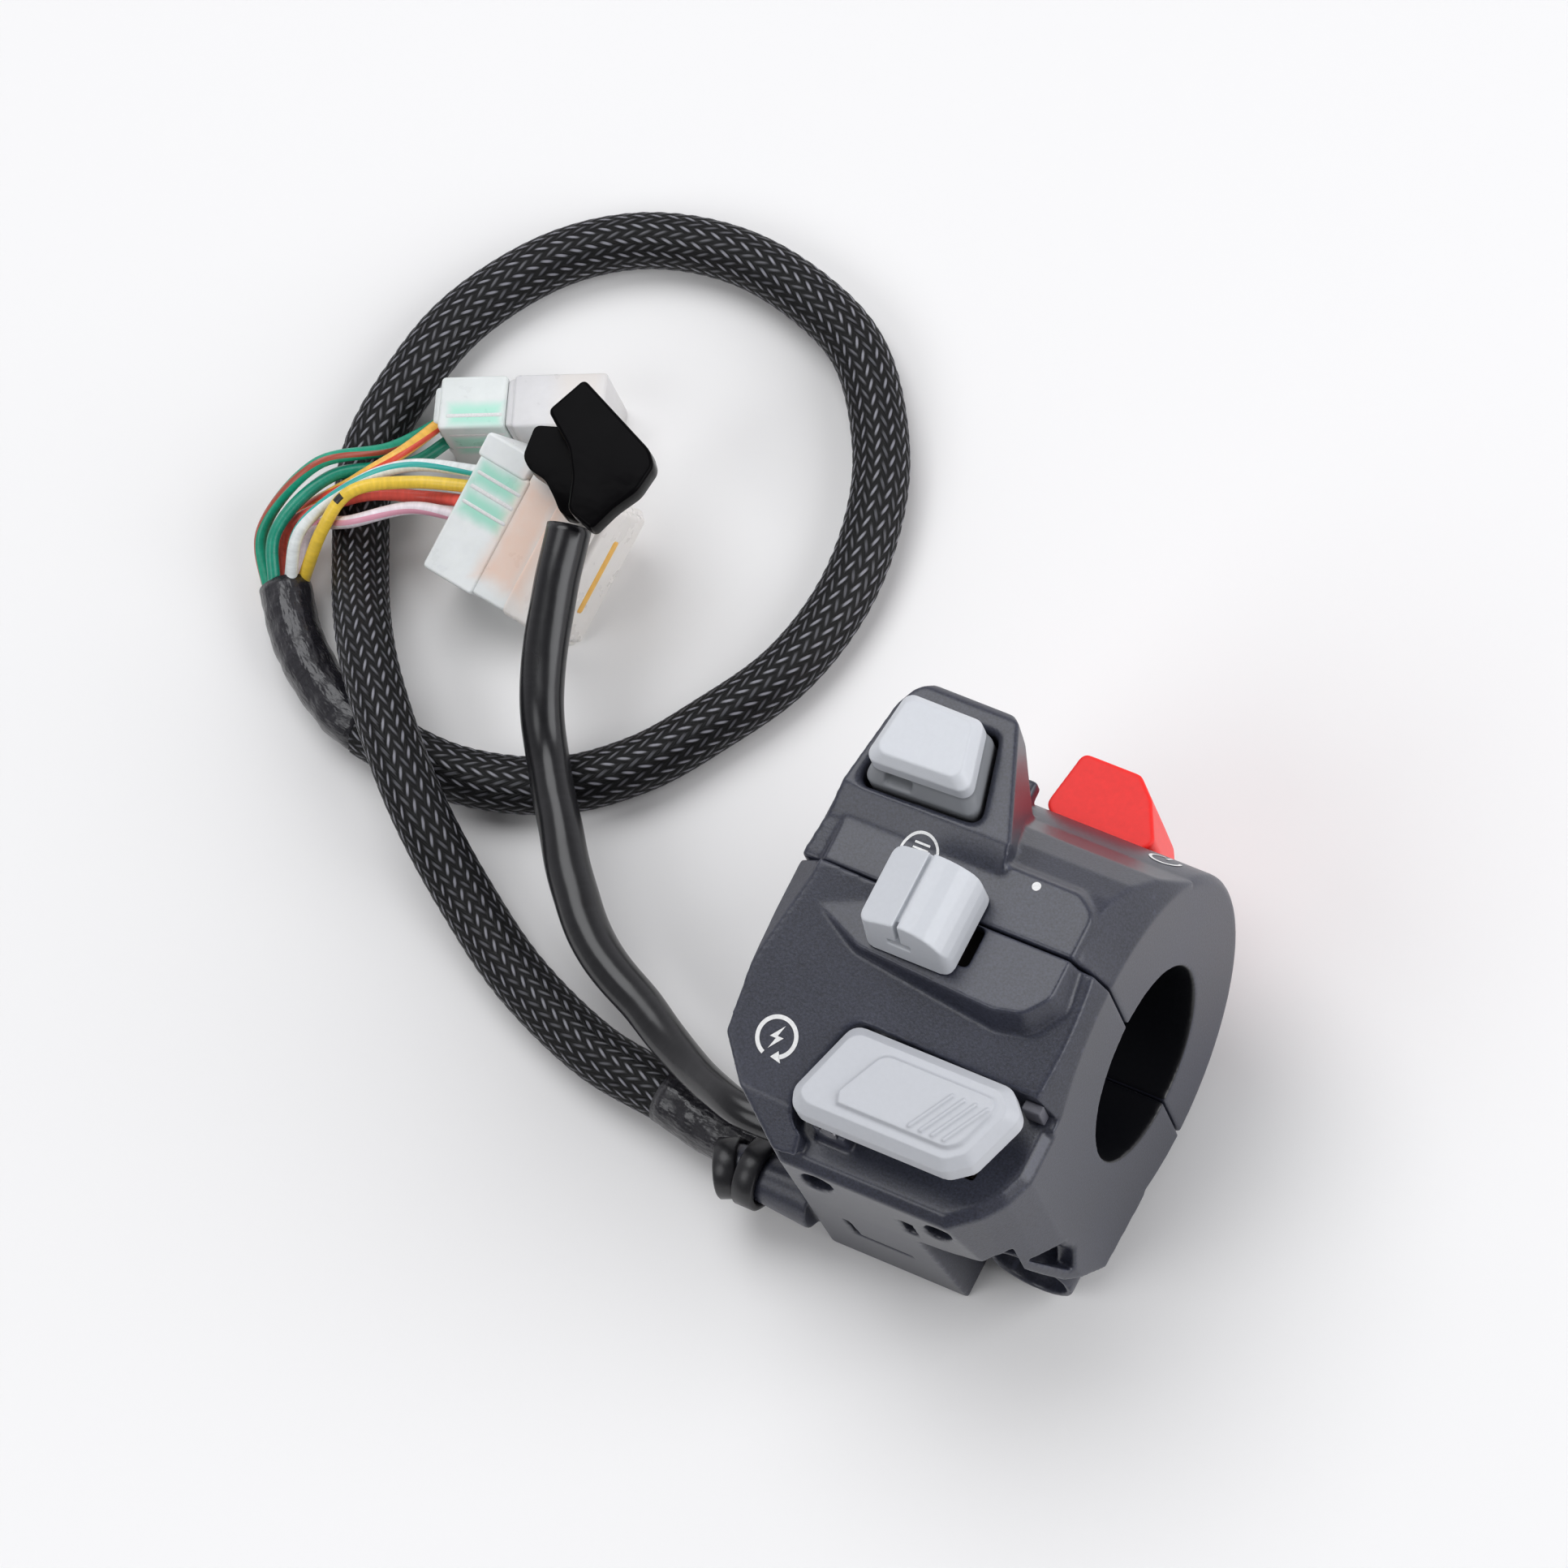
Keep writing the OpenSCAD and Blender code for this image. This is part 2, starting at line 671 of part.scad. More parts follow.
module top_button() {
    slab = 0.01;
    brow = 1.2;
    notch = [3.2, 2.4, 1.3];
    color(key_grey) difference() {
        union() {
            translate([0, 0, button_foot]) linear_extrude(button_skirt) button_skirt_plan(0);
            hull() {
                translate([0, 0, tower_h - slab]) linear_extrude(slab) button_skirt_plan(0);
                translate([0, 0, tower_h + button_neck]) linear_extrude(slab) button_plan(-button_neck_in);
            }
            translate([0, 0, tower_h + button_neck - cut])
                linear_extrude(button_rise - button_neck - brow + cut) button_plan(0);
            hull() {
                translate([0, 0, tower_h + button_rise - brow]) linear_extrude(slab) button_plan(0);
                translate([0, 0, tower_h + button_rise - slab]) linear_extrude(slab)
                    button_plan(-button_top_in);
            }
            translate([button_x, button_y, button_stem_end]) linear_extrude(button_stem_t + cut)
                square([button_stem_w, button_stem_l], center = true);
        }
        translate([button_x - 2.5, button_y - button_l / 2 - notch[1] / 8, tower_h + 0.3 + notch[2] / 2])
            cube(notch, center = true);
    }
}

module button_contact() {
    color(brass) translate([button_x, button_y, button_stem_end - contact_t]) linear_extrude(contact_t)
        square([button_stem_w - 1, button_stem_l - 1], center = true);
}

module coil(height) {
    difference() {
        cylinder(r = spring_r, h = height);
        translate([0, 0, -cut]) cylinder(r = spring_r - spring_wire, h = height + 2 * cut);
    }
}

module button_spring() {
    color(steel) translate([button_x, button_y, button_base_top])
        coil(button_stem_end - contact_t - button_base_top - spring_gap);
}

module button_base() {
    extra = 2 * (button_gap - base_fit);
    color(board) translate([button_x, button_y, button_base_top - button_base_t])
        linear_extrude(button_base_t) square([button_stem_w + extra, button_stem_l + extra], center = true);
}

// Knob seen from the rider; front moves its low side out
module knob_plan(front) {
    half = light_w / 2;
    back = light_y + light_l / 2;
    low = back - light_l - front;
    outline = [[-half, low], [half, low], [half, back], [-half, back]];
    translate([light_x, 0]) polygon(rounded(outline, light_round));
}

// Grooved knob with a round crown on its outboard side
module light_knob() {
    slab = 0.01;
    half = light_w / 2;
    low = light_rise * 0.76;
    front = light_y - light_l / 2 - light_flare;
    bar = [2.8, 2.4, 1];
    crown_line = [for (turn = [0 : 15 : 90])
        [half - crown_w * (1 - sin(turn)), light_rise - crown_h * (1 - cos(turn))]];
    color(key_grey) difference() {
        union() {
            intersection() {
                translate([light_x, 0, light_foot]) along_y(far, 2 * far)
                    polygon(concat([[-half, 0], [-half, low], [groove_x, light_rise - 0.1]],
                        crown_line, [[half, 0]]));
                hull() {
                    translate([0, 0, light_foot]) linear_extrude(slab) knob_plan(light_flare);
                    translate([0, 0, light_foot + light_rise]) linear_extrude(slab) knob_plan(0);
                }
            }
            translate([light_stem_x, light_stem_y, carriage_top])
                linear_extrude(light_foot + cut - carriage_top) square(light_stem, center = true);
        }
        translate([light_x + groove_x - groove_w / 2, -far, light_foot + light_rise - groove_deep])
            cube([groove_w, 2 * far, far]);
        translate([light_x + groove_x - groove_w / 2, front - cut, light_foot + light_rise * 0.45])
            cube([groove_w, bar[1], far]);
        translate([light_x + groove_x - bar[0] / 2, front - cut, light_foot + light_rise * 0.34])
            cube(bar);
    }
}

module light_carriage() {
    color(board) translate([carriage_x, light_stem_y, carriage_top - carriage_t]) linear_extrude(carriage_t)
        square([carriage_w, carriage_l], center = true);
}

module light_bridge() {
    color(brass) translate([light_stem_x, light_stem_y, carriage_top - carriage_t - bridge_t])
        linear_extrude(bridge_t) square([light_stem + 1.4, carriage_l * 0.5], center = true);
}

module light_base() {
    color(board) translate([light_room_x + base_fit, light_wall_y + base_fit, light_pit])
        cube([light_room - 2 * base_fit, -light_wall_y - 2 * base_fit - seam, light_base_t]);
}

module light_terminal(place) {
    pitch = light_travel / 2;
    color(brass) translate([light_stem_x + place * pitch, light_stem_y, light_base_top])
        linear_extrude(light_strip_t) square([pitch * 0.7, carriage_l * 0.6], center = true);
}

module light_terminal_1() { light_terminal(0); }
module light_terminal_2() { light_terminal(1); }
module light_terminal_3() { light_terminal(2); }

// Paddle seen from the rider; grow widens it all round
module paddle_plan(grow) {
    outline = [[paddle_left, paddle_low + 2.4], [paddle_left + 0.9, paddle_low],
        [paddle_right - 2 * paddle_nose, paddle_low], [paddle_right - paddle_nose, paddle_low + 1.8],
        [paddle_right, paddle_high - 2.6], [paddle_right - paddle_nose, paddle_high],
        [paddle_left + 2.8, paddle_high]];
    polygon(rounded(outline, paddle_round, grow));
}

// Raised part of the paddle, which starts further from the hinge end
module raised_plan(inset, shift) {
    intersection() {
        paddle_plan(-inset);
        translate([shift, 0]) paddle_plan(-inset);
    }
}

module starter_paddle() {
    slab = 0.01;
    brow = 1.1;
    pad_in = 1.7;
    pad_slope = 0.6;
    pad_t = 0.5;
    pad_shift = 3.2;
    web = 2.4;
    ridge = [5.8, 0.4, 0.5];
    ridge_count = 4;
    ridge_pitch = 1.37;
    ridge_turn = 60;
    hinge_len = hinge_high - hinge_low;
    color(key_grey) difference() {
        union() {
            translate([0, 0, paddle_under]) linear_extrude(paddle_t - brow) paddle_plan(0);
            hull() {
                translate([0, 0, paddle_top - brow]) linear_extrude(slab) paddle_plan(0);
                translate([0, 0, paddle_top - slab]) linear_extrude(slab) paddle_plan(-brow);
            }
            hull() {
                translate([0, 0, paddle_top - cut]) linear_extrude(slab) raised_plan(pad_in, pad_shift);
                translate([0, 0, paddle_top + pad_t]) linear_extrude(slab)
                    raised_plan(pad_in + pad_slope, pad_shift);
            }
            for (step = [0 : ridge_count - 1])
                translate([paddle_right - 8.7 + step * ridge_pitch, push_y - 0.4, paddle_top + pad_t])
                    rotate([0, 0, ridge_turn]) cube(ridge, center = true);
            translate([hinge_x, 0, hinge_z]) rod_y(hinge_low, hinge_len, hinge_r);
            translate([hinge_x - web / 2, hinge_low, hinge_z])
                cube([web, hinge_len, paddle_under + cut - hinge_z]);
            translate([push_x, push_y, push_end]) linear_extrude(paddle_under + cut - push_end)
                square([push_w, push_l], center = true);
        }
        translate([hinge_x, 0, hinge_z]) rod_y(-far, 2 * far, pin_d / 2 + pin_fit);
    }
}

module starter_pin() {
    color(steel) translate([hinge_x, 0, hinge_z]) rod_y(lug_y, recess_high + pin_seat - lug_y, pin_d / 2);
}

module starter_spring() {
    color(steel) translate([starter_spring_x, push_y, recess_h])
        coil(paddle_under - recess_h - spring_gap);
}

module starter_base() {
    extra = 2 * (push_room - base_fit);
    color(board) translate([push_x, push_y, starter_pit]) linear_extrude(starter_base_t)
        square([push_w + extra, push_l + extra], center = true);
}

module starter_terminal(place) {
    color(brass) translate([push_x + place * 1.6, push_y, starter_base_top]) linear_extrude(contact_t)
        square([1.4, push_l + push_room], center = true);
}

module starter_terminal_1() { starter_terminal(-1); }
module starter_terminal_2() { starter_terminal(1); }

// Small block that stops the paddle at its outboard end
module starter_stop() {
    color("gray") translate([paddle_right - 2.2, recess_high - 1.2, recess_h]) cube([2.2, 1.2, 3]);
}

module stop_rocker() {
    half = rocker_w / 2;
    edge = 1;
    outline = [[rocker_barrel, 0], [half, rocker_barrel + 0.2], [half - 2.6, rocker_rise - 2.2],
        [1.6, rocker_rise], [-half + 1.2, rocker_rise], [-half, rocker_barrel + 0.2], [-rocker_barrel, 0]];
    color(stop_red) translate([rocker_x, rocker_y, rocker_back]) difference() {
        union() {
            cylinder(r = rocker_barrel, h = rocker_depth);
            linear_extrude(rocker_depth) polygon(rounded(outline, edge));
        }
        translate([0, 0, -cut]) cylinder(r = pin_d / 2 + pin_fit, h = rocker_depth + 2 * cut);
    }
}

module stop_pin() {
    color(steel) translate([rocker_x, rocker_y, rocker_back - rocker_gap - stop_pin_seat])
        cylinder(d = pin_d, h = rocker_depth + 2 * rocker_gap + 2 * stop_pin_seat);
}

module stop_base() {
    length = 2 * (rocker_reach - base_fit);
    depth = rocker_depth + 2 * (rocker_gap - base_fit);
    color(board) translate([rocker_x - length / 2, stop_floor, rocker_back + rocker_depth / 2 - depth / 2])
        cube([length, stop_base_t, depth]);
}

module stop_terminal(place) {
    color(brass) translate([rocker_x + place * 4 - 1, stop_floor + stop_base_t, rocker_back + 2])
        cube([2, stop_strip_t, rocker_depth - 4]);
}

module stop_terminal_1() { stop_terminal(-1); }
module stop_terminal_2() { stop_terminal(1); }

// Round tube along part of a route: one ring of points at each route point
function heading(route, i) =
    unit(route[min(i + 1, len(route) - 1)] - route[max(i - 1, 0)]);
function ring_point(centre, along, r, angle) =
    let (flat = unit(cross([0, 0, 1], along)), rise = cross(along, flat))
    centre + r * (cos(angle) * flat + sin(angle) * rise);

module tube(route, first, last, r, sides) {
    rings = last - first;
    points = [for (i = [first : last], k = [0 : sides - 1])
        ring_point(route[i], heading(route, i), r, 360 * k / sides)];
    walls = [for (i = [0 : rings - 1], k = [0 : sides - 1])
        let (a = i * sides + k, b = i * sides + (k + 1) % sides)
        each [[a, a + sides, b + sides], [a, b + sides, b]]];
    start_face = [for (k = [0 : sides - 1]) k];
    end_face = [for (k = [sides - 1 : -1 : 0]) rings * sides + k];
    polyhedron(points, concat(walls, [start_face, end_face]));
}

module near_tape() { color(black) tube(harness_route, 0, tape_end, tape_r, 12); }
module sleeve() { color(black) tube(harness_route, tape_end, bundle_start, sleeve_r, 10); }
module far_tape() { color(black) tube(harness_route, bundle_start, bundle_end, bundle_d / 2, 12); }
module brake_lead() { color(black) tube(lead_route, 0, len(lead_route) - 1, lead_r, 10); }

// Strap round the tape and the tail, with its lock block
module cable_tie() {
    near = harness_route[0];
    lock = [3.4, 4.4, 3.2];
    tail_r = tail_tip_r + (tail_root_r - tail_tip_r) * (tie_x + tie_w - tail_tip) / (tail_root - tail_tip);
    module band(grow) {
        hull() {
            translate([near[1], near[2]]) circle(tape_r + tie_snug + grow);
            translate([tail_y, tail_z]) circle(tail_r + tie_snug + grow);
        }
    }
    color(black) {
        along_x(tie_x, tie_w) difference() {
            band(tie_t);
            band(0);
        }
        translate([tie_x + tie_w / 2, tail_y - 1, tail_z + tail_r + tie_snug + tie_t / 2 + lock[2] / 2])
            cube(lock, center = true);
    }
}

// Flag shaped insulating boots, one over the other, at the end of the lead
module large_boot() {
    color(black) translate([lead_tip[0], lead_tip[1], boot_low + boot_step]) linear_extrude(large_boot_t)
        polygon([[0.5, 0], [3.5, -1], [5, 0], [7, 5], [7.5, 9], [6.5, 10.5], [-4.5, 15], [-6.5, 10],
            [-3, 8], [0, 4]]);
}

module small_boot() {
    color(black) translate([lead_tip[0], lead_tip[1], boot_low]) linear_extrude(small_boot_t)
        polygon([[0, 0], [-0.5, 2.5], [-2, 5.5], [-4.5, 8.5], [-5.5, 9.5], [-7.5, 9], [-8, 8], [-8, 4.5],
            [-6.5, 3.5], [-4.5, 3], [-2, 0]]);
}

// Point inside a connector, given along it, across it and up it
function plug_point(corner, turn, lean, along, across, up) =
    let (flat = across * cos(lean) - up * sin(lean), rise = across * sin(lean) + up * cos(lean))
    corner + [along * cos(turn) - flat * sin(turn), along * sin(turn) + flat * cos(turn), rise];

function wire_start(i) =
    let (along = heading(harness_route, bundle_end), centre = harness_route[bundle_end] - wire_seat * along)
    wire_spots[i] < 0 ? centre : ring_point(centre, along, wire_spread, 60 * wire_spots[i]);
function wire_stop(i) = i < upper_wires
    ? plug_point(upper_corner, upper_turn, 0, wire_seat, wire_entries[i][0], wire_entries[i][1])
    : plug_point(lower_corner, lower_turn, lower_lean, wire_seat, wire_entries[i][0], wire_entries[i][1]);
function wire_route(i) = concat([wire_start(i)], wire_bows[i], [wire_stop(i)]);

module wire(i) {
    route = wire_route(i);
    color(wire_colours[i]) tube(route, 0, len(route) - 1, wire_r, 8);
}

module wire_1() { wire(0); }
module wire_2() { wire(1); }
module wire_3() { wire(2); }
module wire_4() { wire(3); }
module wire_5() { wire(4); }
module wire_6() { wire(5); }
module wire_7() { wire(6); }

// Block of a connector, from one share of its length to another
module connector(corner, turn, lean, size, from, to) {
    translate(corner) rotate([lean, 0, turn])
        translate([size[0] * from, 0, 0]) cube([size[0] * (to - from), size[1], plug_h]);
}

module upper_plug() { color(milk) connector(upper_corner, upper_turn, 0, upper_size, 0, plug_share); }
module upper_socket() { color(cream) connector(upper_corner, upper_turn, 0, upper_size, plug_share, 1); }
module lower_plug() {
    color(milk) connector(lower_corner, lower_turn, lower_lean, lower_size, 0, plug_share);
}
module lower_socket() {
    color(cream) difference() {
        connector(lower_corner, lower_turn, lower_lean, lower_size, plug_share, 1);
        lower_seal();
    }
}

// Seal let into the end face of the lower socket
module lower_seal() {
    seal = [1.2, 9.6, 1.4];
    color("orange") translate(lower_corner) rotate([lower_lean, 0, lower_turn])
        translate([lower_size[0] - seal[0], (lower_size[1] - seal[1]) / 2, (plug_h - seal[2]) / 2])
        cube(seal);
}

lower_case();
upper_case();
rear_screw();
front_screw();
top_button();
button_contact();
button_spring();
button_base();
light_knob();
light_carriage();
light_bridge();
light_base();
light_terminal_1();
light_terminal_2();
light_terminal_3();
starter_paddle();
starter_pin();
starter_spring();
starter_base();
starter_terminal_1();
starter_terminal_2();
starter_stop();
stop_rocker();
stop_pin();
stop_base();
stop_terminal_1();
stop_terminal_2();
near_tape();
cable_tie();
sleeve();
far_tape();
brake_lead();
large_boot();
small_boot();
wire_1();
wire_2();
wire_3();
wire_4();
wire_5();
wire_6();
wire_7();
upper_plug();
upper_socket();
lower_plug();
lower_socket();
lower_seal();
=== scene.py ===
import math

import bmesh
import bpy
from mathutils import Matrix, Vector
from mathutils.bvhtree import BVHTree


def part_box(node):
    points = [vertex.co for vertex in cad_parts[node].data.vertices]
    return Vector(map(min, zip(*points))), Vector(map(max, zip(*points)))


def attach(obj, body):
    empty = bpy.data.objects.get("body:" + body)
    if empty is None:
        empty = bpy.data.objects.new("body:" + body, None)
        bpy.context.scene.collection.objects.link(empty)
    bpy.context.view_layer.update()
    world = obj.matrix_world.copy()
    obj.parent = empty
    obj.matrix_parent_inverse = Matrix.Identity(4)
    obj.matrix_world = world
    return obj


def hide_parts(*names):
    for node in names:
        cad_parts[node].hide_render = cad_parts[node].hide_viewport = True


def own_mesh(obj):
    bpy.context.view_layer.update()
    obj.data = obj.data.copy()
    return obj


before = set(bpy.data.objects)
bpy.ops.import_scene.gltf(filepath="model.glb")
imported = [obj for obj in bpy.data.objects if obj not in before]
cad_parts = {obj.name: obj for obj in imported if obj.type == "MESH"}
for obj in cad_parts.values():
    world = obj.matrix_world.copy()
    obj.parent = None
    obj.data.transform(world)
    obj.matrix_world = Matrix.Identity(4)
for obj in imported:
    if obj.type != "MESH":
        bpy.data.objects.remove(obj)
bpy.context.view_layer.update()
scene = bpy.context.scene
scene.view_settings.view_transform = "Standard"
MM = 0.001
FLOOR = -22.6  # height of the floor, in millimetres


def mm(point):
    return Vector(point) * MM


def metres(place):
    """A frame in millimetres as one that places pieces in metres."""
    out = place.copy()
    out.translation = place.translation * MM
    return out


# ---------------------------------------------------------------- camera

FRAME_PIXELS, FOCAL_PIXELS = 1932, 10413
SENSOR = 36
VIEW_BACK, VIEW_RIGHT = (0.3573, -0.2666, 0.8951), (0.8678, 0.4492, -0.2126)
CAMERA_PLACE = (0.2778, -0.2318, 0.8255)


def make_camera():
    back = Vector(VIEW_BACK).normalized()
    up = back.cross(Vector(VIEW_RIGHT)).normalized()
    right = up.cross(back)
    data = bpy.data.cameras.new("view_camera")
    data.sensor_width = SENSOR
    data.lens = SENSOR * FOCAL_PIXELS / FRAME_PIXELS
    camera = bpy.data.objects.new("view_camera", data)
    scene.collection.objects.link(camera)
    turn = Matrix((right, up, back)).transposed().to_4x4()
    camera.matrix_world = Matrix.Translation(CAMERA_PLACE) @ turn
    scene.camera = camera


make_camera()


# ---------------------------------------------------------------- node materials

def put(tree, kind, inputs=None, **settings):
    made = tree.nodes.new("ShaderNode" + kind)
    for key, value in settings.items():
        setattr(made, key, value)
    for key, value in (inputs or {}).items():
        if isinstance(value, bpy.types.NodeSocket):
            tree.links.new(value, made.inputs[key])
        else:
            made.inputs[key].default_value = value
    return made


def start(name):
    material = bpy.data.materials.new(name)
    material.use_nodes = True
    tree = material.node_tree
    return material, tree, tree.nodes["Principled BSDF"]


def math_node(tree, operation, a, b=0.0, c=0.0):
    return put(tree, "Math", {0: a, 1: b, 2: c}, operation=operation).outputs[0]


def noise(tree, place, scale, detail=2.0, rough=0.5):
    made = put(tree, "TexNoise", {"Vector": place, "Scale": scale, "Detail": detail, "Roughness": rough})
    return made.outputs["Fac"]


def ramp(tree, factor, stops):
    made = put(tree, "ValToRGB", {"Fac": factor})
    points = made.color_ramp.elements
    while len(points) < len(stops):
        points.new(0.5)
    for point, (place, colour) in zip(points, stops):
        point.position = place
        point.color = (*colour, 1)
    return made.outputs["Color"]


def spread(tree, factor, low, high):
    made = put(tree, "MapRange", {"Value": factor, "To Min": low, "To Max": high})
    return made.outputs["Result"]


def mix(tree, factor, a, b):
    made = put(tree, "Mix", {0: factor}, data_type="RGBA")
    for index, value in ((6, a), (7, b)):
        if isinstance(value, bpy.types.NodeSocket):
            tree.links.new(value, made.inputs[index])
        else:
            made.inputs[index].default_value = (*value, 1)
    return made.outputs[2]


def bump(tree, shader, height, distance, strength=1.0):
    made = put(tree, "Bump", {"Height": height, "Distance": distance, "Strength": strength})
    tree.links.new(made.outputs["Normal"], shader.inputs["Normal"])


def shade(colour, factor):
    return tuple(min(1.0, part * factor) for part in colour)


def plastic(name, colour, rough=(0.4, 0.5), grain=2500, depth=0.00002, vary=0.12, edge_highlight=0.0,
            specular=0.5, glow=0.0, bore=0.0, foot=None):
    """Moulded plastic: fine grain, a slow drift of colour, edges painted paler as a highlight, and painted
    shade in a bore or below a height.

    bore is the radius round the bar axis inside which the colour is painted near-black as shade, in metres.
    foot is a height in metres and the darker colour below it, painted shade."""
    material, tree, shader = start(name)
    place = put(tree, "TexCoord").outputs["Object"]
    fine = noise(tree, place, grain, 3, 0.6)
    slow = noise(tree, place, 70, 2)
    both = math_node(tree, "ADD", math_node(tree, "MULTIPLY", fine, 0.75),
                     math_node(tree, "MULTIPLY", slow, 0.25))
    tint = ramp(tree, both, [(0.3, shade(colour, 1 - vary)), (0.7, shade(colour, 1 + vary))])
    # Sharp edges are painted paler from their pointiness, as a painted highlight along the rims.
    if edge_highlight:
        edge = put(tree, "NewGeometry").outputs["Pointiness"]
        edge_highlight_mask = put(tree, "MapRange", {"Value": edge, "From Min": 0.5, "From Max": 0.62, "To Max": edge_highlight})
        tint = mix(tree, edge_highlight_mask.outputs["Result"], tint, shade(colour, 2.2))
    # Inside the bore the colour is painted near-black: painted shade in the deep hole.
    if bore:
        axes = put(tree, "SeparateXYZ", {"Vector": place})
        away = math_node(tree, "SQRT", math_node(tree, "ADD", math_node(tree, "POWER", axes.outputs["Y"], 2),
                                                 math_node(tree, "POWER", axes.outputs["Z"], 2)))
        tint = mix(tree, math_node(tree, "LESS_THAN", away, bore), tint, shade(colour, 0.12))
    # Below the given height the colour is painted darker: painted shade.
    if foot:
        height = put(tree, "SeparateXYZ", {"Vector": place}).outputs["Z"]
        tint = mix(tree, math_node(tree, "LESS_THAN", height, foot[0]), tint, foot[1])
    tree.links.new(tint, shader.inputs["Base Color"])
    tree.links.new(spread(tree, slow, *rough), shader.inputs["Roughness"])
    shader.inputs["Specular IOR Level"].default_value = specular
    shader.inputs["Subsurface Weight"].default_value = glow
    shader.inputs["Subsurface Radius"].default_value = (0.0012, 0.0012, 0.001)
    bump(tree, shader, fine, depth)
    return material


def metal(name, colour, rough):
    """Turned or stamped metal with fine scratches."""
    material, tree, shader = start(name)
    place = put(tree, "TexCoord").outputs["Object"]
    drawn = put(tree, "Mapping", {"Vector": place, "Scale": (1, 12, 1)}).outputs["Vector"]
    scratch = noise(tree, drawn, 900, 4, 0.7)
    tint = ramp(tree, scratch, [(0.3, shade(colour, 0.75)), (0.7, colour)])
    tree.links.new(tint, shader.inputs["Base Color"])
    tree.links.new(spread(tree, scratch, rough - 0.08, rough + 0.12), shader.inputs["Roughness"])
    shader.inputs["Metallic"].default_value = 1
    bump(tree, shader, scratch, 0.00001)
    return material


def sheath(name, colour, rough, crease, depth, along=(1, 1, 1), coat=0.0):
    """Soft vinyl skin with shallow creases."""
    material, tree, shader = start(name)
    place = put(tree, "TexCoord").outputs["UV"]
    stretched = put(tree, "Mapping", {"Vector": place, "Scale": along}).outputs["Vector"]
    folds = noise(tree, stretched, crease, 3, 0.55)
    dust = noise(tree, place, 2.2, 3, 0.6)
    tint = ramp(tree, dust, [(0.35, colour), (0.75, shade(colour, 2.0))])
    tree.links.new(tint, shader.inputs["Base Color"])
    tree.links.new(spread(tree, folds, *rough), shader.inputs["Roughness"])
    shader.inputs["Coat Weight"].default_value = coat
    shader.inputs["Coat Roughness"].default_value = 0.12
    bump(tree, shader, folds, depth)
    return material


YARN_GAP = 0.5  # share of a yarn's round that is lost in the gap between yarns


def braid(name, colour, pale, around, pitch):
    """Two sets of flat yarns that cross over two and under two round a tube."""
    material, tree, shader = start(name)
    split = put(tree, "SeparateXYZ", {"Vector": put(tree, "TexCoord").outputs["UV"]})
    along = math_node(tree, "DIVIDE", split.outputs["X"], pitch)
    turn = math_node(tree, "MULTIPLY", split.outputs["Y"], around)
    a = math_node(tree, "ADD", along, turn)
    b = math_node(tree, "SUBTRACT", along, turn)
    cell_a = math_node(tree, "FLOOR", a)
    cell_b = math_node(tree, "FLOOR", b)
    phase = math_node(tree, "FLOORED_MODULO", math_node(tree, "SUBTRACT", cell_a, cell_b), 4)
    over = math_node(tree, "LESS_THAN", phase, 1.5)
    part_a = math_node(tree, "FRACT", a)
    part_b = math_node(tree, "FRACT", b)
    across = put(tree, "Mix", {0: over, 2: part_b, 3: part_a}).outputs[0]
    lengthwise = put(tree, "Mix", {0: over, 2: part_a, 3: part_b}).outputs[0]
    odd = math_node(tree, "FLOORED_MODULO", phase, 2)
    shift = math_node(tree, "ABSOLUTE", math_node(tree, "SUBTRACT", over, odd))
    float_at = math_node(tree, "MULTIPLY", math_node(tree, "ADD", lengthwise, shift), 0.5)
    round_across = math_node(tree, "SINE", math_node(tree, "MULTIPLY", across, math.pi))
    round_along = math_node(tree, "SINE", math_node(tree, "MULTIPLY", float_at, math.pi))
    body = put(tree, "MapRange", {"Value": round_across, "From Min": YARN_GAP}).outputs["Result"]
    lift = math_node(tree, "POWER", round_along, 0.5)
    yarn = math_node(tree, "MULTIPLY", math_node(tree, "POWER", body, 0.6), lift)
    threads = math_node(tree, "SINE", math_node(tree, "MULTIPLY", across, 6 * math.pi))
    height = math_node(tree, "ADD", yarn, math_node(tree, "MULTIPLY", threads, 0.06))
    # Colour follows the yarn's height: gaps painted near-black as shade, tops painted pale as a highlight, and
    # one set painted darker than the other as shade.
    lit = ramp(tree, yarn, [(0.35, shade(colour, 0.1)), (0.6, colour), (0.95, pale)])
    shaded_set = ramp(tree, yarn, [(0.35, shade(colour, 0.1)), (0.6, shade(colour, 0.8)),
                             (0.95, shade(pale, 0.35))])
    tree.links.new(mix(tree, over, shaded_set, lit), shader.inputs["Base Color"])
    tree.links.new(spread(tree, yarn, 0.6, 0.28), shader.inputs["Roughness"])
    shader.inputs["Specular IOR Level"].default_value = 0.3
    bump(tree, shader, height, 0.00016)
    return material


def braid_height(along, turn, around, pitch):
    """Height of the yarn on top at a place on a braided tube, from 0 to 1."""
    a, b = along / pitch + turn * around, along / pitch - turn * around
    phase = (math.floor(a) - math.floor(b)) % 4
    across, lengthwise, shift = (a % 1, b % 1, 1 - phase % 2) if phase < 2 else (b % 1, a % 1, phase % 2)
    place = (lengthwise + shift) / 2
    body = max(0, math.sin(math.pi * across) - YARN_GAP) / (1 - YARN_GAP)
    return body ** 0.6 * max(0, math.sin(math.pi * place)) ** 0.5


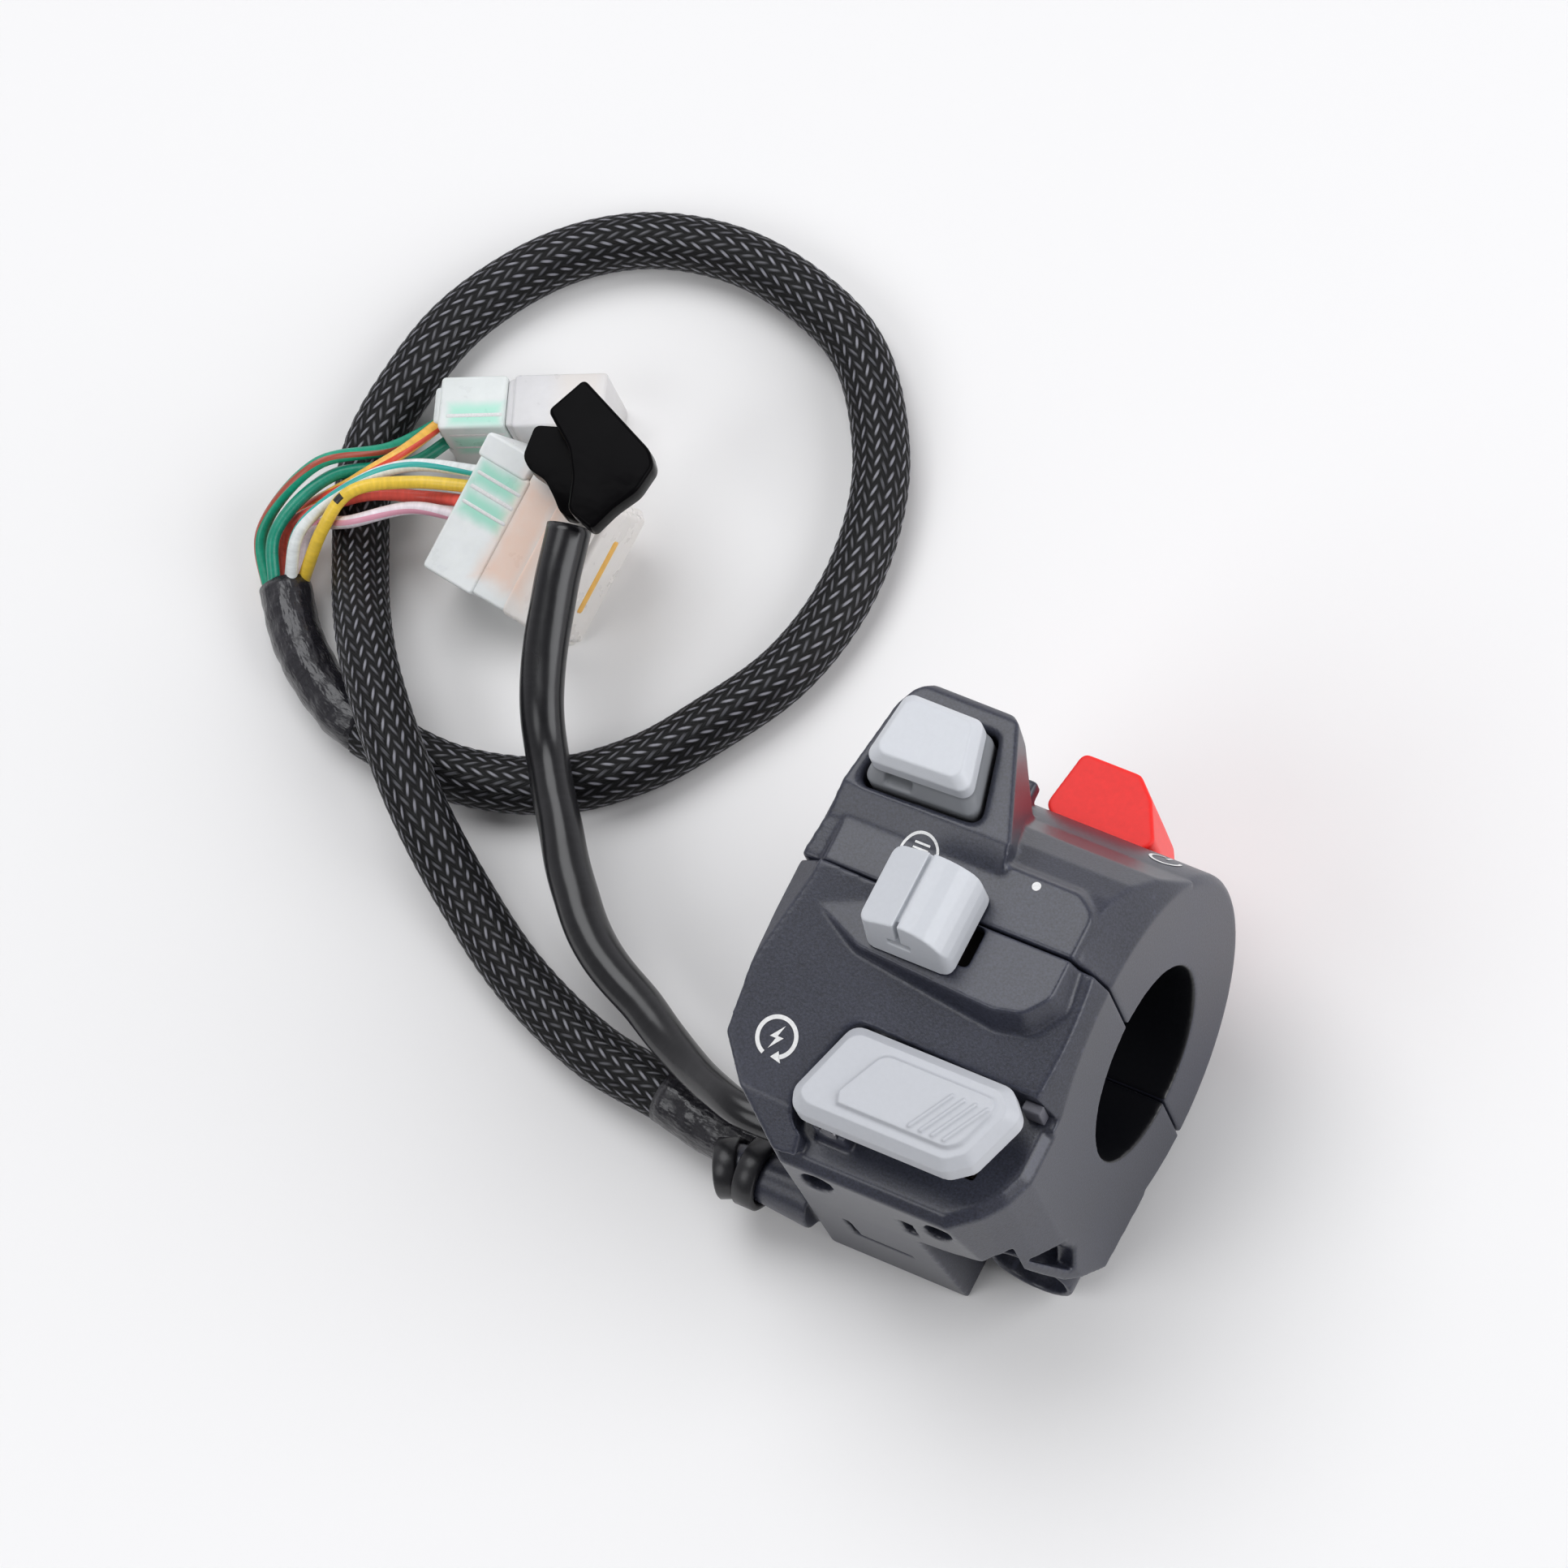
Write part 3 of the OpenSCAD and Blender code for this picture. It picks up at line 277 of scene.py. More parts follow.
def milky(name, colour, place, patches):
    """Clouded connector plastic; a patch is a soft box of colour inside it, in the connector's own frame."""
    material, tree, shader = start(name)
    here = put(tree, "TexCoord").outputs["Object"]
    inside = metres(place)
    local = put(tree, "Mapping", {"Vector": here, "Location": inside.translation,
                                  "Rotation": inside.to_euler()}, vector_type="TEXTURE").outputs["Vector"]
    cloud = noise(tree, here, 320, 3, 0.6)
    tint = ramp(tree, cloud, [(0.3, shade(colour, 0.95)), (0.7, shade(colour, 1.03))])
    for middle, half, soft, stain in patches:
        off = put(tree, "VectorMath", {0: local, 1: mm(middle)}, operation="SUBTRACT").outputs["Vector"]
        size = put(tree, "VectorMath", {0: off}, operation="ABSOLUTE").outputs["Vector"]
        over = put(tree, "VectorMath", {0: size, 1: mm(half)}, operation="SUBTRACT").outputs["Vector"]
        axes = put(tree, "SeparateXYZ", {"Vector": over})
        far = math_node(tree, "MAXIMUM", axes.outputs["X"],
                        math_node(tree, "MAXIMUM", axes.outputs["Y"], axes.outputs["Z"]))
        drift = math_node(tree, "MULTIPLY_ADD", math_node(tree, "SUBTRACT", cloud, 0.5), soft * MM, far)
        mask = put(tree, "MapRange", {"Value": drift, "From Min": -soft * MM, "From Max": soft * MM,
                                      "To Min": 1.0, "To Max": 0.0},
                   interpolation_type="SMOOTHSTEP").outputs["Result"]
        tint = mix(tree, mask, tint, stain)
    tree.links.new(tint, shader.inputs["Base Color"])
    tree.links.new(spread(tree, cloud, 0.22, 0.36), shader.inputs["Roughness"])
    shader.inputs["Subsurface Weight"].default_value = 0.5
    shader.inputs["Subsurface Radius"].default_value = (0.002, 0.002, 0.0018)
    bump(tree, shader, cloud, 0.00003)
    return material


def wire_skin(name, colour, stripe=None, dash=None):
    """Thin insulation with a tracer stripe, and one dark dash at a distance along it."""
    material, tree, shader = start(name)
    uv = put(tree, "TexCoord").outputs["UV"]
    split = put(tree, "SeparateXYZ", {"Vector": uv})
    dirt = noise(tree, uv, 1.6, 3, 0.6)
    tint = ramp(tree, dirt, [(0.3, shade(colour, 0.86)), (0.7, shade(colour, 1.08))])
    spin = math_node(tree, "FRACT", math_node(tree, "ADD", split.outputs["Y"],
                                              math_node(tree, "MULTIPLY", split.outputs["X"], 0.012)))
    if stripe:
        side = math_node(tree, "ABSOLUTE", math_node(tree, "SUBTRACT", spin, 0.5))
        tint = mix(tree, math_node(tree, "LESS_THAN", side, 0.07), tint, stripe)
    if dash:
        here = math_node(tree, "COMPARE", split.outputs["X"], dash, 0.5)
        side = math_node(tree, "COMPARE", split.outputs["Y"], 0.25, 0.1)
        tint = mix(tree, math_node(tree, "MULTIPLY", here, side), tint, (0.02, 0.02, 0.02))
    tree.links.new(tint, shader.inputs["Base Color"])
    tree.links.new(spread(tree, dirt, 0.25, 0.4), shader.inputs["Roughness"])
    bump(tree, shader, dirt, 0.00004)
    return material


# Radius round the bar axis inside which the case is painted dark as shade, in metres.
BORE_SHADE_RADIUS = 0.0113
# The button's body below the cap's rim is painted dark grey as shade.
CAP_SHADED_FOOT = (0.0299, (0.24, 0.25, 0.265))
# The case's paler edges are a painted highlight.
CASE = plastic("case_moulding", (0.028, 0.0305, 0.046), (0.31, 0.38), 3800, 0.00002, 0.6, 0.5,
               specular=0.6, bore=BORE_SHADE_RADIUS)
CAP = plastic("cap_moulding", (0.6, 0.62, 0.65), (0.36, 0.46), 1800, 0.00001, 0.02, glow=0.1, foot=CAP_SHADED_FOOT)
KNOB = plastic("knob_moulding", (0.58, 0.6, 0.63), (0.36, 0.46), 1800, 0.00001, 0.02, glow=0.1)
# The paddle's grey is set darker than the cap's and the knob's: painted shade.
KEY = plastic("key_moulding", (0.51, 0.525, 0.555), (0.36, 0.46), 1800, 0.00001, 0.02, glow=0.1)
RED = plastic("stop_moulding", (0.94, 0.028, 0.024), (0.34, 0.44), 1500, 0.00001, 0.05,
              specular=0.25, glow=0.12)
TAB = plastic("tab_moulding", (0.1, 0.1, 0.12), (0.45, 0.55), 2500, 0.00002, 0.1)
BOARD = plastic("laminate", (0.03, 0.026, 0.022), (0.55, 0.7), 1600, 0.00002, 0.25)
TIE = plastic("nylon", (0.012, 0.012, 0.014), (0.25, 0.4), 1500, 0.00002, 0.2)
SEAL = plastic("seal_rubber", (0.9, 0.5, 0.1), (0.4, 0.55), 900, 0.00002, 0.12, glow=0.1)
# White for the printed marks, and as a painted highlight on the plugs' ribs.
PRINT_AND_HIGHLIGHT_WHITE = plastic("white_print_and_highlight", (0.78, 0.78, 0.77), (0.5, 0.6), 4000, 0.000005, 0.12)
STEEL = metal("screw_steel", (0.62, 0.62, 0.64), 0.3)
BRASS = metal("contact_brass_finish", (0.8, 0.6, 0.28), 0.28)
BRAID_AROUND, BRAID_PITCH = 24, 1.9
# The pale colour is the painted highlight on the yarn tops.
BRAID = braid("braided_sleeve", (0.009, 0.009, 0.011), (0.24, 0.24, 0.27), BRAID_AROUND, BRAID_PITCH)
TAPE = sheath("vinyl_tape", (0.013, 0.0125, 0.0155), (0.18, 0.34), 0.45, 0.0006, (0.5, 20, 1), 0.2)
LEAD = sheath("lead_vinyl", (0.006, 0.006, 0.007), (0.2, 0.32), 0.12, 0.0002, (0.6, 15, 1), 0.1)
BOOT = plastic("boot_vinyl", (0.003, 0.0028, 0.0032), (0.16, 0.24), 160, 0.0001, 0.3, specular=0.03)
# Near-black brass for the starter terminal.
DARK = metal("dark_brass", (0.06, 0.05, 0.04), 0.5)
WIRES = [
    wire_skin("skin_green", (0.01, 0.33, 0.2), (0.4, 0.08, 0.05)),
    wire_skin("skin_green_dark", (0.01, 0.28, 0.18)),
    wire_skin("skin_orange", (0.9, 0.5, 0.08), (0.75, 0.08, 0.04)),
    wire_skin("skin_red", (0.85, 0.12, 0.09)),
    wire_skin("skin_teal", (0.82, 0.86, 0.85), (0.03, 0.42, 0.38)),
    wire_skin("skin_yellow", (0.88, 0.6, 0.06), None, 12.5),
    wire_skin("skin_pink", (0.84, 0.76, 0.8), (0.75, 0.35, 0.45), 11.5),
]


# ---------------------------------------------------------------- pieces

def piece(name, mesh, material, body="case", replaces=()):
    """Links a mesh as a piece that rides on a body and the nodes it stands for."""
    mesh.materials.clear()
    mesh.materials.append(material)
    obj = bpy.data.objects.new(name, mesh)
    scene.collection.objects.link(obj)
    for face in mesh.polygons:
        face.use_smooth = True
    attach(obj, body)
    if replaces:
        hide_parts(*replaces)
    return obj


def smooth_path(points, step=1.0):
    """Points on a smooth curve through the route, about one step apart, in millimetres."""
    route = [Vector(p) for p in points]
    ends = [2 * route[0] - route[1]] + route + [2 * route[-1] - route[-2]]
    path = []
    for i in range(1, len(ends) - 2):
        p0, p1, p2, p3 = ends[i - 1:i + 3]
        count = max(2, round((p2 - p1).length / step))
        for k in range(count):
            t = k / count
            path.append(0.5 * (2 * p1 + (p2 - p0) * t + (2 * p0 - 5 * p1 + 4 * p2 - p3) * t ** 2
                               + (3 * p1 - p0 - 3 * p2 + p3) * t ** 3))
    path.append(route[-1])
    return path


def spaced(path, step):
    """The same path with points an even step apart."""
    out, left = [path[0]], step
    for a, b in zip(path, path[1:]):
        length = (b - a).length
        done = 0.0
        while length - done >= left:
            done += left
            out.append(a.lerp(b, done / length))
            left = step
        left -= length - done
    return out + [path[-1]]


def tube_mesh(name, path, radius, sides=32, caps=True):
    """Round tube along a path, in millimetres; UV is the distance along it and the turn round it."""
    build = bmesh.new()
    uv = build.loops.layers.uv.new("UVMap")
    normal = Vector((0, 0, 1))
    rings, reached, last = [], 0.0, path[0]
    for i, centre in enumerate(path):
        along = (path[min(i + 1, len(path) - 1)] - path[max(i - 1, 0)]).normalized()
        normal = (normal - along * normal.dot(along)).normalized()
        side = along.cross(normal)
        reached += (centre - last).length
        last = centre
        ring = []
        for k in range(sides):
            angle = 2 * math.pi * k / sides
            r = radius(reached, k / sides) if callable(radius) else radius
            out = math.cos(angle) * side + math.sin(angle) * normal
            ring.append(build.verts.new((centre + r * out) * MM))
        rings.append((ring, reached))
    for (low, u0), (high, u1) in zip(rings, rings[1:]):
        for k in range(sides):
            j = (k + 1) % sides
            face = build.faces.new((low[k], low[j], high[j], high[k]))
            for loop, place in zip(face.loops, ((u0, k), (u0, k + 1), (u1, k + 1), (u1, k))):
                loop[uv].uv = (place[0], place[1] / sides)
    if caps:
        build.faces.new(list(reversed(rings[0][0])))
        build.faces.new(rings[-1][0])
    mesh = bpy.data.meshes.new(name)
    build.to_mesh(mesh)
    build.free()
    return mesh


# ---------------------------------------------------------------- cords

HARNESS = [(-31.5, -20, -18), (-43, -20, -18), (-49, -19.5, -18.5), (-54, -18.5, -18.5), (-64.5, -17, -19),
           (-76.5, -12.5, -19), (-86.5, -6.5, -17.5), (-94.5, -0.5, -13.5), (-102, 6.5, -12),
           (-110, 15, -13.5), (-117.5, 25, -18), (-123.5, 37.5, -19), (-123.5, 49.5, -19), (-121, 59, -19),
           (-114.5, 68.5, -19), (-105.5, 74.5, -19), (-94.5, 76.5, -19), (-83.5, 74.5, -19), (-75, 70, -19),
           (-68, 61, -19), (-64.5, 52, -19), (-63.5, 42, -19), (-65.5, 32, -19), (-70.5, 23, -19),
           (-76, 15.5, -19), (-84, 9.5, -19), (-95.5, 6.5, -19), (-107.5, 7.5, -19), (-112.5, 9, -19),
           (-119.5, 13.5, -19), (-125, 19.5, -19)]
TAPE_END, BUNDLE_START = 3, 27
SLEEVE_D, TAPE_D, BUNDLE_D, LEAD_D, WIRE_D = 6.6, 7.0, 6.2, 4.9, 1.5
LEAD_ROUTE = [(-33, -20, -6), (-41, -20, -6), (-50.5, -16.5, -10), (-59, -12, -12), (-67, -8, -12.5),
              (-73, -2.5, -12.5), (-78, 3.5, -12.5), (-83, 10, -12.5), (-86.5, 16, -10.5),
              (-88.5, 21.5, -9), (-90, 27.5, -7.5), (-91.5, 34.5, -6)]
WIRE_SPOTS = [0, 1, 5, -1, 2, 3, 4]
WIRE_BOWS = [
    [(-129.8, 24.2, -16.6), (-125.8, 32.4, -12.2), (-119.8, 38.6, -15.2)],
    [(-127.2, 24.2, -14.4), (-124.2, 32.4, -14), (-117.4, 37.6, -16)],
    [(-128, 26.6, -18.6), (-120.8, 32.8, -13.2), (-117, 38, -12.6)],
    [(-127.2, 25.2, -16.6), (-120, 31.2, -13.8), (-113.2, 34.4, -15)],
    [(-124, 25, -13.2), (-120.2, 31.8, -12), (-115.2, 36.6, -12.4)],
    [(-121.4, 25.8, -12.8), (-119.4, 30.6, -10.6), (-114, 34.6, -12)],
    [(-125.4, 26.6, -18.4), (-118.2, 27.8, -12.2), (-113, 32, -13)]]
WIRE_ENTRIES = [(4.4, 4.6), (1.4, 4.6), (3, 7), (8.9, 7), (12.7, 7), (10.8, 7), (7, 7)]
WIRE_SLOTS = ["wire_green", "wire_green_dark", "wire_orange", "wire_red", "wire_teal", "wire_yellow",
              "wire_pink"]
UPPER_WIRES = 3
BUNDLE_RING = 1.9
PLUG_H, PLUG_SHARE = 10, 0.4
UPPER_SIZE, LOWER_SIZE = (19.6, 6.6), (18, 17.2)


def connector_frame(corner, turn, lean):
    return (Matrix.Translation(corner) @ Matrix.Rotation(math.radians(turn), 4, "Z")
            @ Matrix.Rotation(math.radians(lean), 4, "X"))


UPPER = connector_frame((-114.8, 41.8, FLOOR), 23, 0)
LOWER = connector_frame((-108, 29.5, FLOOR), -9, 20)

whole = smooth_path(HARNESS, 0.8)


def harness_part(first, last):
    """The stretch of the harness curve between two of its route points."""
    def nearest(point):
        return min(range(len(whole)), key=lambda i: (whole[i] - Vector(point)).length)
    return whole[nearest(HARNESS[first]):nearest(HARNESS[last]) + 1]


def wire_route(i):
    """Where a wire runs, from its place in the bundle's end to the connector's face."""
    heading = (Vector(HARNESS[-1]) - Vector(HARNESS[-2])).normalized()
    centre = Vector(HARNESS[-1]) - 0.5 * heading
    flat = Vector((0, 0, 1)).cross(heading).normalized()
    rise = heading.cross(flat)
    if WIRE_SPOTS[i] >= 0:
        angle = math.radians(60 * WIRE_SPOTS[i])
        centre = centre + BUNDLE_RING * (math.cos(angle) * flat + math.sin(angle) * rise)
    across, up = WIRE_ENTRIES[i]
    stop = (UPPER if i < UPPER_WIRES else LOWER) @ Vector((0.5, across, up))
    return [centre] + WIRE_BOWS[i] + [stop]


def wrapped(radius, wrap):
    """Radius of a tape wound in a spiral, with a small step at each edge of it."""
    def at(reached, turn):
        lap = (reached / wrap + turn) % 1
        ripple = 0.05 * math.sin(reached * 1.9 + turn * 12.6) + 0.04 * math.sin(reached * 0.7 - turn * 18.8)
        return radius - TAPE_INSET + TAPE_STEP * lap + ripple
    return at


TAPE_INSET, TAPE_STEP = 0.16, 0.14
YARN_INSET, YARN_RISE = 0.14, 0.17
sleeve_path = harness_part(TAPE_END, BUNDLE_START)


def sleeve_radius(reached, turn):
    return SLEEVE_D / 2 - YARN_INSET + YARN_RISE * braid_height(reached, turn, BRAID_AROUND, BRAID_PITCH)


sleeve = piece("sleeve_braid", tube_mesh("sleeve_braid", spaced(sleeve_path, 0.2),
                                         sleeve_radius, 120), BRAID,
               replaces=["sleeve"])
near_tape = piece("near_tape_wrap", tube_mesh("near_tape_wrap", harness_part(0, TAPE_END),
                                              wrapped(TAPE_D / 2, 11), 48), TAPE,
                  replaces=["near_tape"])
far_tape = piece("far_tape_wrap", tube_mesh("far_tape_wrap", harness_part(BUNDLE_START, len(HARNESS) - 1),
                                            wrapped(BUNDLE_D / 2, 8), 48), TAPE,
                 replaces=["far_tape"])
lead_path = smooth_path(LEAD_ROUTE, 0.8)


LEAD_TAPER_FROM, LEAD_TAPER_OVER = 8, 34


def lead_radius(reached, turn):
    """The lead is drawn thinner toward the case, with a long shallow fold."""
    taper = min(1, max(0, (reached - LEAD_TAPER_FROM) / LEAD_TAPER_OVER))
    slim = 0.76 + 0.24 * taper * taper * (3 - 2 * taper)
    fold = 0.05 * math.cos(4 * math.pi * (turn - 0.1 * math.sin(reached * 0.13)))
    dents = 0.05 * math.sin(reached * 0.55 + turn * 6.28) * math.sin(reached * 0.21)
    return LEAD_D / 2 * (slim + fold) + dents


lead = piece("lead_tube", tube_mesh("lead_tube", lead_path, lead_radius, 32), LEAD,
             replaces=["brake_lead"])
for i, slot in enumerate(WIRE_SLOTS):
    name = f"wire_core_{i + 1}"
    mesh = tube_mesh(name, smooth_path(wire_route(i), 0.4), WIRE_D / 2, 20)
    piece(name, mesh, WIRES[i], replaces=[f"wire_{i + 1}"])


# ---------------------------------------------------------------- moulded pieces

def moulded(name, node, material, voxel, passes, body="case"):
    """A finer copy of a node's solid, with its edges rounded as a mould leaves them."""
    source = bpy.data.objects.new("mould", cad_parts[node].data.copy())
    scene.collection.objects.link(source)
    fine = source.modifiers.new("fine", "REMESH")
    fine.mode = "VOXEL"
    fine.voxel_size = voxel * MM
    soft = source.modifiers.new("soft", "SMOOTH")
    soft.factor = 0.5
    soft.iterations = passes
    shaped = source.evaluated_get(bpy.context.evaluated_depsgraph_get())
    mesh = bpy.data.meshes.new_from_object(shaped)
    mesh.name = name
    bpy.data.objects.remove(source)
    return piece(name, mesh, material, body, [node])


coarse = 1.0
CASE_VOXEL = 0.22
lower = moulded("lower_shell", "lower_case", CASE, CASE_VOXEL * coarse, 11)
upper = moulded("upper_shell", "upper_case", CASE, CASE_VOXEL * coarse, 20)
moulded("button_cap", "top_button", CAP, 0.12 * coarse, 14, "top_button")
moulded("light_cap", "light_knob", KNOB, 0.1 * coarse, 18, "light_slider")
moulded("starter_cap", "starter_paddle", KEY, 0.1 * coarse, 8, "starter_paddle")
moulded("stop_cap", "stop_rocker", RED, 0.14 * coarse, 26, "stop_rocker")
moulded("stop_tab", "starter_stop", TAB, 0.12 * coarse, 12)


TURN_STEPS = 24
SPRING_WIRE = 0.24


def coil(name, node, turns):
    """A wound spring in the place of a node's tube."""
    low, high = (Vector(corner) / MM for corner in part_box(node))
    middle, steps = (low + high) / 2, TURN_STEPS * turns
    reach = (high.x - low.x) / 2 - SPRING_WIRE
    path = []
    for i in range(steps + 1):
        angle = 2 * math.pi * i / TURN_STEPS
        height = low.z + SPRING_WIRE + (high.z - low.z - 2 * SPRING_WIRE) * i / steps
        path.append(Vector((middle.x + reach * math.cos(angle), middle.y + reach * math.sin(angle), height)))
    obj = piece(name, tube_mesh(name, path, SPRING_WIRE, 12), STEEL, replaces=[node])
    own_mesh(obj)


coil("button_coil", "button_spring", 4)
coil("starter_coil", "starter_spring", 7)


def slab(build, outline, low, high, corner, edge, segments=4):
    """Adds a flat plate with rounded corners and edges; sizes in millimetres."""
    verts = [build.verts.new((x * MM, y * MM, low * MM)) for x, y in outline]
    face = build.faces.new(verts)
    grown = bmesh.ops.extrude_face_region(build, geom=[face])["geom"]
    top = [v for v in grown if isinstance(v, bmesh.types.BMVert)]
    bmesh.ops.translate(build, verts=top, vec=(0, 0, (high - low) * MM))
    mine = set(verts) | set(top)
    bmesh.ops.recalc_face_normals(build, faces=list({f for v in mine for f in v.link_faces}))
    if corner:
        upright = [e for e in {e for v in mine for e in v.link_edges}
                   if abs(e.verts[0].co.z - e.verts[1].co.z) > 1e-7]
        made = bmesh.ops.bevel(build, geom=upright, offset=corner * MM, segments=segments, profile=0.5,
                               affect="EDGES", clamp_overlap=True)
        mine = {v for v in mine if v.is_valid} | set(made["verts"])
    flat = [e for e in {e for v in mine for e in v.link_edges}
            if abs(e.verts[0].co.z - e.verts[1].co.z) < 1e-7]
    made = bmesh.ops.bevel(build, geom=flat, offset=edge * MM, segments=segments, profile=0.5, affect="EDGES",
                           clamp_overlap=True)
    return {v for v in mine if v.is_valid} | set(made["verts"])


def plate(name, outline, low, high, corner, edge, material, replaces, place):
    """A rounded flat plate, built flat and then put in its place."""
    build = bmesh.new()
    slab(build, outline, low, high, corner, edge)
    build.transform(place)
    mesh = bpy.data.meshes.new(name)
    build.to_mesh(mesh)
    build.free()
    return piece(name, mesh, material, "case", replaces)


def brick(name, place, boxes, material, replaces=(), corner=0.5, edge=0.35):
    """Rounded blocks in a connector's own frame, made as one moulding; a box is its low and high corner."""
    build = bmesh.new()
    for (x0, y0, z0), (x1, y1, z1) in boxes:
        room = min(x1 - x0, y1 - y0, z1 - z0) * 0.45
        slab(build, [(x0, y0), (x1, y0), (x1, y1), (x0, y1)], z0, z1, min(corner, room), min(edge, room), 3)
    build.transform(metres(place))
    mesh = bpy.data.meshes.new(name)
    build.to_mesh(mesh)
    build.free()
    return piece(name, mesh, material, "case", replaces)


STRAP_STEPS = 72


def strap(name, loops, wide, thick, material, replaces):
    """Flat closed straps; a loop is its place along x, the (y, z, radius) circles it goes round and a turn."""
    edge = thick / 4
    half = wide / 2
    section = [(-half + edge, 0), (half - edge, 0), (half, edge), (half, thick - edge),
               (half - edge, thick), (-half + edge, thick), (-half, thick - edge), (-half, edge)]
    build = bmesh.new()
    for x, circles, turn in loops:
        middle = Vector((x, *circles[0][:2]))
        spin = Matrix.Rotation(math.radians(turn), 3, "Z")
        rings = []
        for k in range(STRAP_STEPS):
            angle = 2 * math.pi * k / STRAP_STEPS
            out = Vector((0, math.cos(angle), math.sin(angle)))
            y, z, r = max(circles, key=lambda c: c[0] * out.y + c[1] * out.z + c[2])
            spots = [Vector((x + across, y, z)) + (r + rise) * out for across, rise in section]
            rings.append([build.verts.new((middle + spin @ (spot - middle)) * MM) for spot in spots])
        for near, far in zip(rings, rings[1:] + rings[:1]):
            for i in range(len(section)):
                j = (i + 1) % len(section)
                build.faces.new((near[i], near[j], far[j], far[i]))
    bmesh.ops.recalc_face_normals(build, faces=build.faces[:])
    mesh = bpy.data.meshes.new(name)
    build.to_mesh(mesh)
    build.free()
    return piece(name, mesh, material, "case", replaces)


TIE_LOOPS = [(-38.7, [(-24, -14, 3.02), (-20, -18, 3.7)], 0), (-42, [(-24.5, -14.3, 2.5)], 24)]
TIE_WIDE, TIE_THICK = 2.6, 0.9
strap("tie_strap", TIE_LOOPS, TIE_WIDE, TIE_THICK, TIE, ["cable_tie"])

TIP = LEAD_ROUTE[-1]
BOOT_PIVOT = mm((TIP[0], TIP[1], -3.6))
boot_tilt = (Matrix.Translation(BOOT_PIVOT) @ Matrix.Rotation(math.radians(6), 4, "Y")
             @ Matrix.Rotation(math.radians(7), 4, "X") @ Matrix.Translation(-BOOT_PIVOT))
large = plate("large_boot_skin", [(TIP[0] + x, TIP[1] + y) for x, y in (
    (1, 0.4), (4.5, -0.6), (5.7, 2.6), (7.3, 5.4), (7.8, 8.8), (6.5, 10.3), (-4, 14.8), (-6.2, 9.9),
    (-2.1, 6.9), (-0.2, 4))], -3.4, 0, 0.6, 0.4, BOOT, ["large_boot"], boot_tilt)
small = plate("small_boot_skin", [(TIP[0] + x, TIP[1] + y) for x, y in (
    (0.4, 0.4), (2.2, 1.6), (0.4, 6.4), (-0.7, 7.6), (-5.1, 9.5), (-8, 8.5), (-7.7, 4.7), (-6.4, 3.6),
    (-4.1, 3.2), (-2.3, 1.8), (-0.8, 0.4))], -7, -3.9, 0.6, 0.4, BOOT, ["small_boot"],
    boot_tilt)
up_l, up_w = UPPER_SIZE
up_cut = up_l * PLUG_SHARE
low_l, low_w = LOWER_SIZE
low_cut = low_l * PLUG_SHARE
GREEN_STAIN, PINK_STAIN = (0.42, 0.78, 0.64), (0.93, 0.7, 0.58)
# The upper connector's plastics are painted darker than the lower's, as painted shade.
UPPER_MILK = milky("upper_plug_moulding", (0.76, 0.795, 0.78), UPPER, [
    ((up_cut / 2 + 0.4, 1.7, PLUG_H), (3, 1.3, 1.2), 0.8, GREEN_STAIN),
    ((up_cut / 2 + 0.4, 0, 5.4), (3, 1.2, 2), 0.8, GREEN_STAIN)])
# Painted darker than the lower socket's cream, as shade.
UPPER_CREAM = milky("upper_socket_moulding", (0.71, 0.705, 0.71), UPPER, [
    ((up_l - 3, up_w / 2, PLUG_H / 2), (2.5, 5, 6), 2, (0.74, 0.7, 0.66))])
LOWER_MILK = milky("lower_plug_moulding", (0.86, 0.89, 0.88), LOWER, [
    ((low_cut / 2, 12.6, PLUG_H), (3, 1.4, 1.2), 0.9, GREEN_STAIN),
    ((low_cut / 2, 8.9, PLUG_H), (3, 1.4, 1.2), 0.9, GREEN_STAIN),
    ((low_cut + 2, low_w / 2, PLUG_H / 2), (2.4, 6, 6), 1.8, PINK_STAIN)])
LOWER_CREAM = milky("lower_socket_moulding", (0.85, 0.82, 0.78), LOWER, [
    ((low_cut + 3, low_w / 2, PLUG_H / 2), (2.4, 6, 6), 2, PINK_STAIN)])
